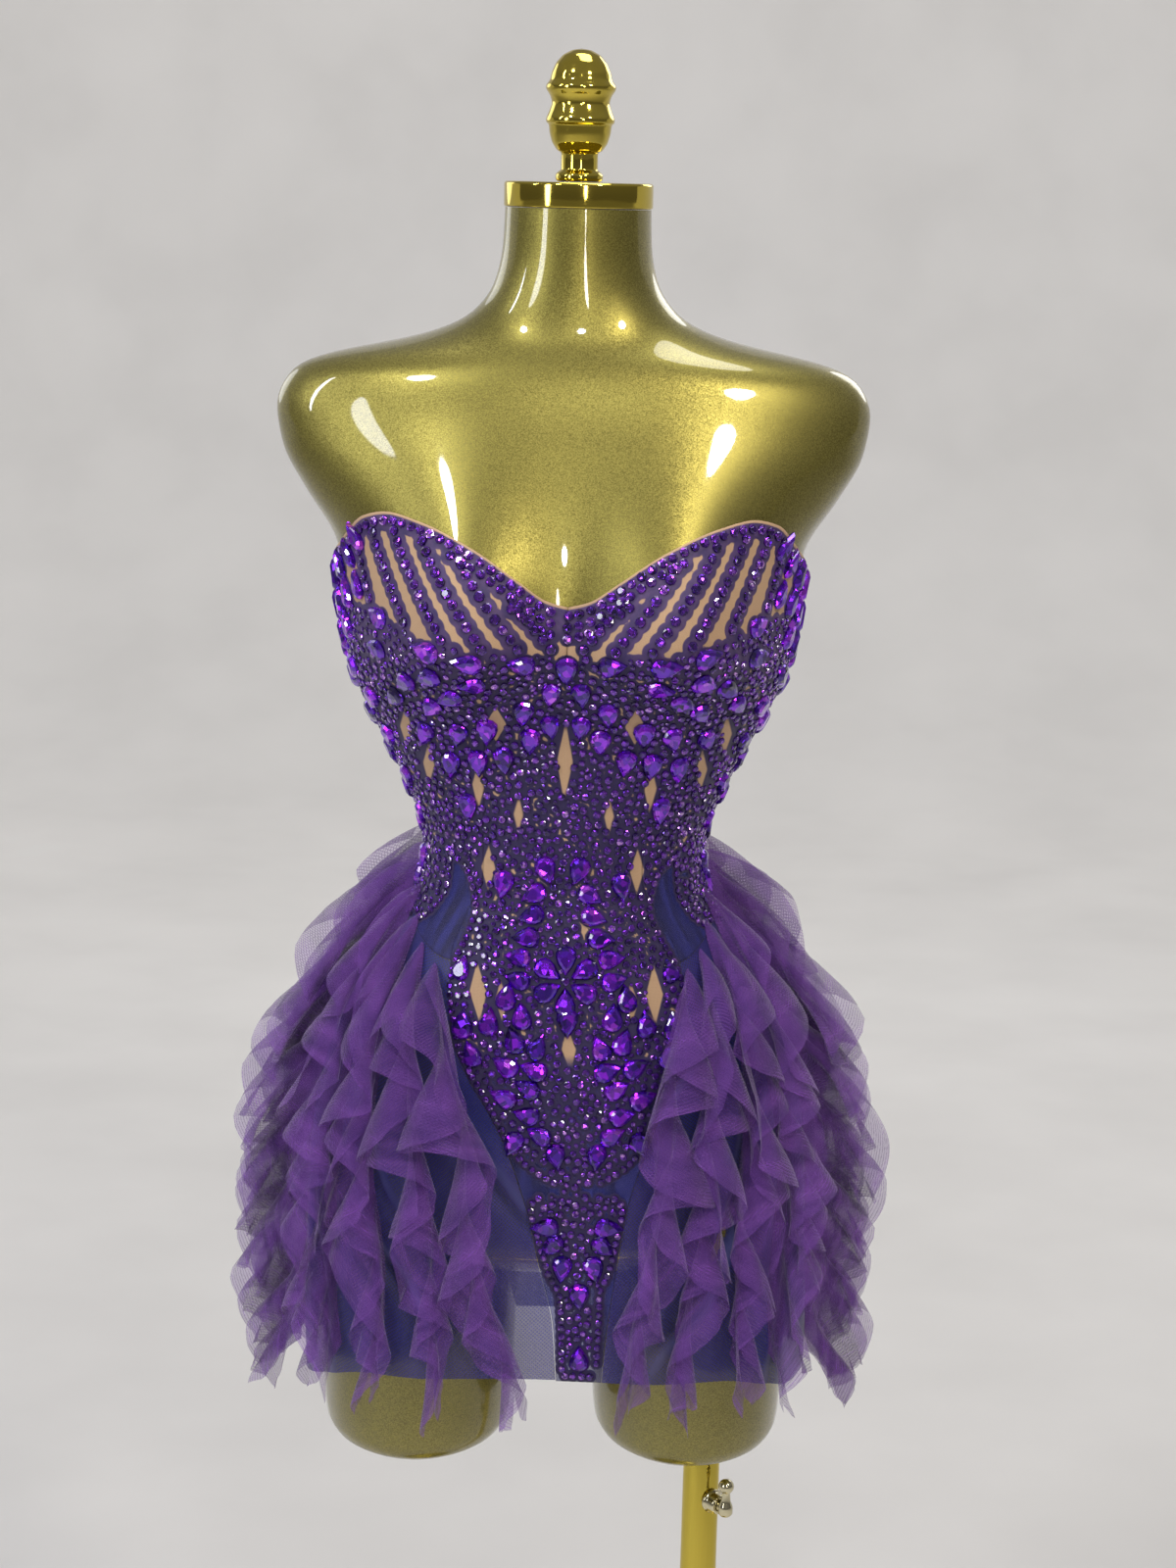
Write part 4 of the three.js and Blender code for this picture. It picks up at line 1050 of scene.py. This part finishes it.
def windowEdge(x, height):  # how far outside the nearest bare window, whose ends are pointed
    outside = np.full(np.shape(x), 9.0)
    for spotX, spotHeight, halfWidth, halfHeight in bareSpots:
        up = np.abs((height - spotHeight) / (halfHeight + applique["pointUp"]))
        for side in (-1, 1):
            aside = np.abs((x - side * spotX) / (halfWidth + applique["pointAside"]))
            outside = np.minimum(outside, (aside + up - 1) * halfWidth)
    return outside


def coverAt(points):  # how far inside the applique a point lies; it follows the stones in scallops
    cover = np.full(len(points), -6.0)
    for i, point in enumerate(points):
        for _, nearest, distance in discTree.find_n(point, 5):
            cover[i] = max(cover[i], discs[nearest, 2] - distance)
    return cover


def onBothFaces(values):
    return np.concatenate([values.ravel(), values.ravel()])


def markMesh(piece, turn, height, outer):  # where the applique and the blue net lie, and where the lace gets painted shade
    offset = outer[..., 0] - panelMiddle(height)
    cover = coverAt(outer.reshape(-1, 3)).reshape(turn.shape)
    binding = edges["neckline"](np.abs(turn)) - height - applique["binding"]
    outside = windowEdge(offset, height)
    nearWindow = (outside < applique["window"]) & (np.abs(turn) < frontTurn)
    cover = np.minimum(np.where(nearWindow, np.minimum(outside, 1.0), cover), binding)
    setAttribute(piece, "applique", onBothFaces(cover))
    beyond = np.abs(offset) - beadHalf(height)
    besideBeads = np.clip(beyond / blueNet["edge"] + 0.5, 0, 1)
    besideBeads = besideBeads * np.clip((blueNet["besideBelow"] - height) / 6, 0, 1)
    blue = np.maximum(besideBeads, np.clip((blueNet["below"] - height) / 8, 0, 1))
    setAttribute(piece, "blueShare", onBothFaces(blue))
    top = edges["underbust"](np.abs(turn)) + crowded["above"]
    crowd = np.clip((top - height) / crowded["fade"], 0, 1) * (np.abs(turn) < crowded["turn"])
    setAttribute(piece, "crowd", onBothFaces(crowd))


def markOrganza(piece, turn, folds, v):  # the doubled hem, the creases with their painted shade and highlight, and the fuller sides
    hemBand = np.clip((organza["hem"] - (v[-1:] - v)) / 1.5, 0, 1) * organza["hemDensity"]
    beside = np.clip((np.abs(turn) - organza["sideFrom"]) / organza["sideFade"], 0, 1)
    full = beside * organza["sideDensity"] + organza["creaseDensity"] * np.abs(folds)
    setAttribute(piece, "density", np.clip(np.maximum(hemBand, full), 0, 1))
    setAttribute(piece, "crease", np.clip(folds, -1, 1))


def clothPanel(node, size, lines, levels, material, slot, held="stretched"):
    name = f"{node}_cloth"
    turn, height = panelGrid(*size, *lines, *levels)
    if turn[0, 0] > turn[0, -1]:
        turn, height = turn[:, ::-1], height[:, ::-1]
    if material == "organza":  # a single sheer layer
        # rise is the creases' real shape, folds their painted shade and highlight
        rise, folds = creaseShape(turn, height)
        outer = dressPoint(turn, height, panelWall["sheer"] + np.maximum(rise, -easeAt(height)))
        piece = newPiece(name, outer.reshape(-1, 3), gridFaces(*turn.shape), material)
        u, v = gridLengths(outer)
        setClothMap(piece, u, v)
        markOrganza(piece, turn, folds, v)
    else:
        outer = dressPoint(turn, height, panelWall["outside"] + 0 * turn)
        inner = dressPoint(turn, height, panelWall["inside"] + 0 * turn)
        points = np.concatenate([outer.reshape(-1, 3), inner.reshape(-1, 3)])
        piece = newPiece(name, points, wallFaces(*turn.shape), material)
        u, v = gridLengths(outer)
        setClothMap(piece, onBothFaces(u), onBothFaces(v))
        markMesh(piece, turn, height, outer)
    finishPiece(piece, "form", slot, node)


def makeDressPanels():
    def level(name, gap):
        return lambda turn: edges[name](np.abs(turn)) + gap

    panel, sideSeam, front, back = (edgeLines[name] for name in ("panel", "side", "front", "back"))
    bodice, skirt = ("mesh", "beaded_mesh"), ("organza", "organza", "hung")
    underbust, waist = level("underbust", -half), level("skirtTop", half)
    skirtLevels = (level("skirtTop", -half), level("hem", 0))
    clothPanel("front_panel", (100, 330), (panel(-1, -half), panel(1, -half)),
               (underbust, level("hem", 0)), *bodice)
    for name, side in sides.items():
        alongPanel, frontOfSide, behindSide = panel(side, half), sideSeam(side, -half), sideSeam(side, half)
        clothPanel(f"cup_{name}", (140, 90), (front(side, half), frontOfSide),
                   (level("neckline", 0), level("underbust", half)), *bodice)
        clothPanel(f"side_front_{name}", (60, 110), (alongPanel, frontOfSide), (underbust, waist), *bodice)
        clothPanel(f"back_{name}", (100, 150), (behindSide, back(side, 3 + cloth["seam"])),
                   (level("neckline", 0), waist), *bodice)
        clothPanel(f"skirt_front_{name}", (70, 140), (alongPanel, frontOfSide), skirtLevels, *skirt)
        clothPanel(f"skirt_back_{name}", (80, 140), (behindSide, back(side, half)), skirtLevels, *skirt)


makeDressPanels()
print("panels made")


# ruffles
ruffleRows = [  # name, turnTop, turnBottom, top, bottom, ribbon, pitch, lean, stay, phase
    ("front_1", 42, 8, 1000, 690, 54, 104, -14, 0.25, 0.4),
    ("front_2", 52, 20, 1010, 692, 54, 96, -8, 0.2, 1.1),
    ("front_3", 63, 35, 1026, 700, 56, 100, 8, 0.15, 1.9),
    ("front_4", 75, 51, 1042, 696, 60, 84, 16, 0.25, 2.6),
    ("side_1", 88, 86, 1054, 674, 80, 76, 30, 0.4, 2.6),
    ("side_2", 103, 101, 1060, 668, 84, 66, 6, 0.6, 3.3),
    ("back_1", 119, 116, 1072, 674, 76, 68, 0, 0.5, 4.0),
    ("back_2", 137, 134, 1064, 680, 70, 74, -3, 0.4, 4.7),
    ("back_3", 157, 154, 1050, 684, 64, 80, -8, 0.3, 5.4),
]
ruffle = {"swing": 64, "square": 0.45, "lag": 1.2, "puff": 0.5, "narrowing": 0.26, "fan": 10, "seamFall": 6,
          "droop": 58, "limp": 14, "curl": 7, "layers": 2, "steps": 180, "across": 15, "tail": 16,
          "hang": 32, "aside": 3.5, "waver": 1.3, "fade": 0.34, "unevenness": 0.09, "shorter": 0.14}


def ruffleLayer(row, side, layer):
    name, turnTop, turnBottom, top, bottom, ribbon, pitch, lean, stay, phase = row
    s = np.linspace(0, 1, ruffle["steps"])[:, None]
    t = np.linspace(0, 1, ruffle["across"])[None, :]
    bottom = bottom + ruffle["hang"]
    height = top + (bottom - top) * s
    seed = phase * 7.3 + layer * 2.9 + (1.7 if side < 0 else 0)
    turn = turnTop + (turnBottom - turnTop) * s**0.6
    turn = turn + ruffle["waver"] * np.sin(11 * s + phase * 5 + side) * np.minimum(1, 6 * s)
    aside = ruffle["aside"] * np.clip(panelMiddle(height) / 12, 0, 1) * np.clip(1 - turn / 60, 0, 1)
    turn = side * turn + aside
    outward = skinNormal(turn, height)
    outward[..., 2] = 0
    outward = unit(outward)
    sideways = np.stack([-outward[..., 1], outward[..., 0], 0 * outward[..., 0]], -1) * side
    seam = dressPoint(turn, height, cloth["wall"] + cloth["offSkirt"] + 0.5 * layer)
    limp = np.clip((s - 0.66) / ruffle["fade"], 0, 1) ** 1.3
    wobble = 0.6 * np.sin(8.3 * s + seed) + 0.35 * np.sin(19.7 * s + 1.7 * seed)
    theta = 2 * math.pi * (top - bottom) * (0.8 * s + 0.2 * s**2) / pitch + seed + 1.6 * wobble
    beat = np.sin(theta - ruffle["lag"] * t)
    beat = np.tanh(ruffle["square"] * beat) / math.tanh(ruffle["square"])
    swing = ruffle["swing"] * (0.85 + 0.22 * np.sin(13 * s + seed)) * (1 - 0.3 * limp)
    flutter = 9 * t * np.sin(2.7 * theta + seed + 2 * t) + 4 * t * np.sin(6.1 * theta + 3 * seed)
    angle = np.radians(lean + (swing * beat + flutter) * (0.3 + 0.7 * t**0.7))
    fan = ruffle["fan"] * np.exp(-((s / 0.055) ** 2)) * min(1, stay / 0.5)
    droop = ruffle["droop"] * (0.75 + 0.35 * beat**2) + ruffle["limp"] * limp
    fall = np.radians(ruffle["seamFall"] + droop * t**0.9 - fan)
    puff = 1 + ruffle["puff"] * stay * np.exp(-(((s - 0.2) / 0.16) ** 2))
    opening = np.minimum(1, 0.3 + 0.6 * stay + s / 0.08) * puff
    uneven = 1 - ruffle["shorter"] * layer + ruffle["unevenness"] * np.sin(17 * s + seed)
    wide = ribbon * opening * (1 - ruffle["narrowing"] * s**2) * uneven
    flat = outward * np.cos(angle)[..., None] + sideways * np.sin(angle)[..., None]
    reach = flat * np.cos(fall)[..., None] - np.array([0, 0, 1.0]) * np.sin(fall)[..., None]
    moved = np.cumsum(reach * (wide / (ruffle["across"] - 1))[..., None], axis=1)
    moved = moved - moved[:, :1]
    tail = np.clip((s - 0.9) / 0.1, 0, 1) ** 1.4
    down = ruffle["curl"] * t**1.5 * np.cos(theta - ruffle["lag"] * t)
    down = down + tail * (ruffle["tail"] * (1 - np.abs(t - 0.6) / 0.6) - 10)
    points = seam + moved
    points[..., 2] -= down
    return points


def makeRuffle(side, sideName, row):
    pieces = []
    for layer in range(ruffle["layers"]):
        points = ruffleLayer(row, side, layer)
        rows, columns = points.shape[:2]
        piece = newPiece(f"ruffle_{sideName}_{row[0]}_tulle", points.reshape(-1, 3),
                         gridFaces(rows, columns, flip=side < 0), "tulle")
        u, v = gridLengths(points)
        setClothMap(piece, u + 90 * layer, v)
        gathers = np.linspace(1, 0, columns)[None, :] ** 1.5
        tips = np.clip((np.linspace(0, 1, rows)[:, None] - 0.84) / 0.12, 0, 1)
        setAttribute(piece, "density", 0.24 + 0.5 * gathers - 0.24 * tips)
        pieces.append(piece)
    return joined(pieces[0].name, pieces)


settling = {"frames": 12, "gravity": 0.4, "quality": 5, "mass": 0.02, "stretch": 15, "bend": 0.6, "drag": 3}


def keepOutside(points, gap):  # lifts what fell into the figure back onto the skirt
    x, y, height = points.T
    ease = easeAt(height) + gap
    across = figureValue("halfWidth", height) + ease
    deep = np.where(y < 0, figureValue("front", height), figureValue("back", height)) + ease
    power = figureValue("squareness", height)
    level = (np.abs(x / across) ** power + np.abs(y / deep) ** power) ** (1 / power)
    outwards = np.maximum(1, 1 / np.maximum(level, 0.2))
    return np.stack([x * outwards, y * outwards, height], -1)


def settle(pieces, stays):  # lets the tulle droop from its seams under its own weight
    scene = bpy.context.scene
    scene.frame_set(1)
    laid = []
    for piece in pieces:
        points = np.empty(3 * len(piece.data.vertices))
        piece.data.vertices.foreach_get("co", points)
        laid.append(points.reshape(-1, 3) / mm)
        group = piece.vertex_groups.new(name="sewn")
        group.add(range(0, len(piece.data.vertices), ruffle["across"]), 1.0, "REPLACE")
        modifier = piece.modifiers.new("cloth", "CLOTH")
        values = modifier.settings
        values.quality = settling["quality"]
        values.mass = settling["mass"]
        values.air_damping = settling["drag"]
        values.tension_stiffness = values.compression_stiffness = values.shear_stiffness = settling["stretch"]
        values.bending_stiffness = settling["bend"]
        values.vertex_group_mass = "sewn"
        values.effector_weights.gravity = settling["gravity"]
        modifier.collision_settings.use_collision = False
        modifier.point_cache.frame_start, modifier.point_cache.frame_end = 1, settling["frames"]
    for number in range(1, settling["frames"] + 1):
        scene.frame_set(number)
    for piece, start, stay in zip(pieces, laid, stays):
        applyModifiers(piece)
        points = np.empty(3 * len(piece.data.vertices))
        piece.data.vertices.foreach_get("co", points)
        points = points.reshape(-1, 3) / mm
        points = keepOutside(points + (start - points) * stay, cloth["wall"] + cloth["offSkirt"])
        piece.data.vertices.foreach_set("co", (points * mm).ravel())
        piece.vertex_groups.clear()
        piece.data.shade_smooth()
        piece.data.update()
    scene.frame_set(1)


def makeRuffles():
    made = [(side, sideName, row, makeRuffle(side, sideName, row)) for sideName, side in sides.items()
            for row in ruffleRows]
    settle([piece for *_, piece in made], [row[8] for _, _, row, _ in made])
    for side, sideName, row, piece in made:
        finishPiece(piece, "form", "tulle", f"ruffle_{sideName}_{row[0]}")


makeRuffles()
print("ruffles made")


# zip
zipSizes = {"tapeWidth": 12.4, "top": 1232, "low": 1004.5, "teethTop": 1219, "toothPitch": 1.6,
            "toothReach": 2.6, "toothRadius": 0.62, "toothAside": 1.1}


def makeZip():
    height = np.linspace(zipSizes["top"], zipSizes["low"], 90)[:, None]
    offset = np.linspace(0.5, -0.5, 9)[None, :] * zipSizes["tapeWidth"]
    turn = 180 - turnAtX(offset, height)
    outer = dressPoint(turn, height + 0 * offset, np.full(turn.shape, 0.05))
    inner = dressPoint(turn, height + 0 * offset, np.full(turn.shape, -0.5))
    points = np.concatenate([outer.reshape(-1, 3), inner.reshape(-1, 3)])
    tape = newPiece("zip_tape_cloth", points, wallFaces(*turn.shape), "tape")
    u, v = gridLengths(outer)
    setClothMap(tape, onBothFaces(u), onBothFaces(v))
    finishPiece(tape, "form", "zip_tape", "zip_tape")


def makeZipTeeth():  # one half coil after the other, meshing down the middle
    heights = np.arange(zipSizes["low"] + 2, zipSizes["teethTop"], zipSizes["toothPitch"] / 2)
    hand = np.where(np.arange(len(heights)) % 2, 1, -1)
    turns = 180 - turnAtX(hand * zipSizes["toothAside"], heights)
    places = dressPoint(turns, heights, np.full(len(heights), zipSizes["toothRadius"]))
    facing = skinNormal(np.full(len(heights), 180.0), heights)
    tooth = turned("tooth", [(0, -1), (0.7, -0.8), (1, 0), (0.7, 0.8), (0, 1)], "tape", segments=8)
    radius, reach = zipSizes["toothRadius"], zipSizes["toothReach"] / 2
    tooth.data.transform(Matrix.Diagonal((reach, radius * 0.8, radius, 1)))
    tree = settingTree(materials["tape"])
    up = np.tile((0.0, 0.0, 1.0), (len(heights), 1))
    teeth = setStones("zip_teeth", tooth, tree, places, facing, up, np.ones(len(heights)), 1.0)
    finishPiece(teeth, "form", "zip_tape")
    bpy.data.objects.remove(tooth)


makeZip()
makeZipTeeth()
for node in ("zip_slider", "zip_pull_tab"):
    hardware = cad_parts[node].data
    hardware.materials.clear()
    hardware.materials.append(materials["nickel"])
print("zip made")


# studio
studio = {"floor": 30.0, "wallAt": 6.5, "bend": 2.0, "tall": 6.0, "glowFrom": 0.7, "glowTo": 3.4,
          "glow": 0.47, "sky": 0.55}  # metres, and the light that the room gives and the painted glow of the paper
lamps = [  # name, place, size, power, colour
    ("key", (1.1, -1.5, 2.75), (0.28, 0.28), 23, "#FFF7EC"),
    ("second", (-0.9, -1.2, 2.8), (0.22, 0.22), 12, "#FFFFFF"),
    ("third", (0.15, -2.6, 2.7), (0.2, 0.2), 10, "#FFFFFF"),
    ("front", (0.45, -2.3, 1.75), (0.14, 0.7), 8, "#FFF9F0"),
    ("tube", (-1.9, -0.6, 2.3), (0.1, 1.2), 9, "#F3F6FF"),
    ("fill", (-2.2, -2.0, 1.9), (0.45, 1.9), 26, "#F3F6FF"),
    ("top", (0.2, 0.2, 3.2), (1.4, 1.0), 22, "#FFFFFF"),
    ("behind", (1.6, 2.4, 2.4), (1.4, 1.4), 14, "#FFFFFF"),
    ("behind_left", (-2.0, 2.0, 2.0), (1.4, 1.4), 8, "#F3F6FF"),
]
lampTarget = (0, 0, 1.2)
camera = {"place": (0.015, -1.92, 1.510), "pitch": 11.85, "roll": 1.37, "sensor": 36, "lens": 67.5}


def makeStudio():
    start, radius = studio["wallAt"] - studio["bend"], studio["bend"]
    profile = [(-studio["floor"], 0)] + [
        (start + radius * math.sin(a), radius - radius * math.cos(a)) for a in np.linspace(0, math.pi / 2, 24)
    ] + [(studio["wallAt"], studio["tall"])]
    points = [(x * 1000, y * 1000, z * 1000) for y, z in profile for x in (-studio["floor"], studio["floor"])]
    faces = [[2 * i, 2 * i + 1, 2 * i + 3, 2 * i + 2] for i in range(len(profile) - 1)]
    materials["paper"], add, shader = newMaterial("matt studio paper")
    place = add("TexCoord").outputs["Object"]
    grain = add("TexNoise", {"Vector": place, "Scale": 3, "Detail": 3})
    paper = add("ValToRGB", {0: grain.outputs["Fac"]}, [(0.3, "#CFCDCB"), (0.7, "#D6D4D2")])
    # painted light: the paper glows by emission, brighter towards the wall, though it is no lamp
    parts = add("SeparateXYZ", {0: place})
    glow = add("MapRange", {"Value": parts.outputs["Y"], "From Min": studio["glowFrom"],
                            "From Max": studio["glowTo"], "To Max": studio["glow"]})
    feed(shader, {"Base Color": paper.outputs[0], "Emission Color": paper.outputs[0],
                  "Emission Strength": glow.outputs[0], "Roughness": 0.8})
    newPiece("studio_sweep", points, faces, "paper")


def addToScene(name, data):
    holder = bpy.data.objects.new(name, data)
    bpy.context.scene.collection.objects.link(holder)
    return holder


def makeLights():
    world = bpy.data.worlds.new("soft room")
    bpy.context.scene.world = world
    world.use_nodes = True
    add = partial(addNode, world.node_tree)
    parts = add("SeparateXYZ", {0: add("TexCoord").outputs["Generated"]})
    sky = add("ValToRGB", {0: parts.outputs["Z"]}, [(0.0, "#7C7977"), (0.55, "#B9B7B6")])
    feed(world.node_tree.nodes["Background"], {"Color": sky.outputs[0], "Strength": studio["sky"]})
    for name, place, size, power, colour in lamps:
        lamp = bpy.data.lights.new(name, "AREA")
        lamp.shape, lamp.size, lamp.size_y = "ELLIPSE", size[0], size[1]
        lamp.energy, lamp.color = power, linear(colour)[:3]
        holder = addToScene(name, lamp)
        aim = np.array(lampTarget, float) - np.array(place, float)
        tilt = math.pi / 2 - math.atan2(-aim[2], math.hypot(aim[0], aim[1]))
        holder.rotation_euler = Euler((tilt, 0, math.atan2(aim[1], aim[0]) - math.pi / 2))
        holder.location = place


def makeCamera():
    lens = bpy.data.cameras.new("camera")
    lens.sensor_fit, lens.sensor_height, lens.lens = "VERTICAL", camera["sensor"], camera["lens"]
    holder = addToScene("camera", lens)
    pitch = Matrix.Rotation(math.radians(90 - camera["pitch"]), 4, "X")
    roll = Matrix.Rotation(math.radians(camera["roll"]), 4, "Z")
    holder.matrix_world = Matrix.Translation(camera["place"]) @ (pitch @ roll)
    bpy.context.scene.camera = holder


makeStudio()
makeLights()
makeCamera()
bpy.context.scene.cycles.transparent_max_bounces = 40
bpy.context.scene.view_settings.view_transform = "Standard"
print("studio made")
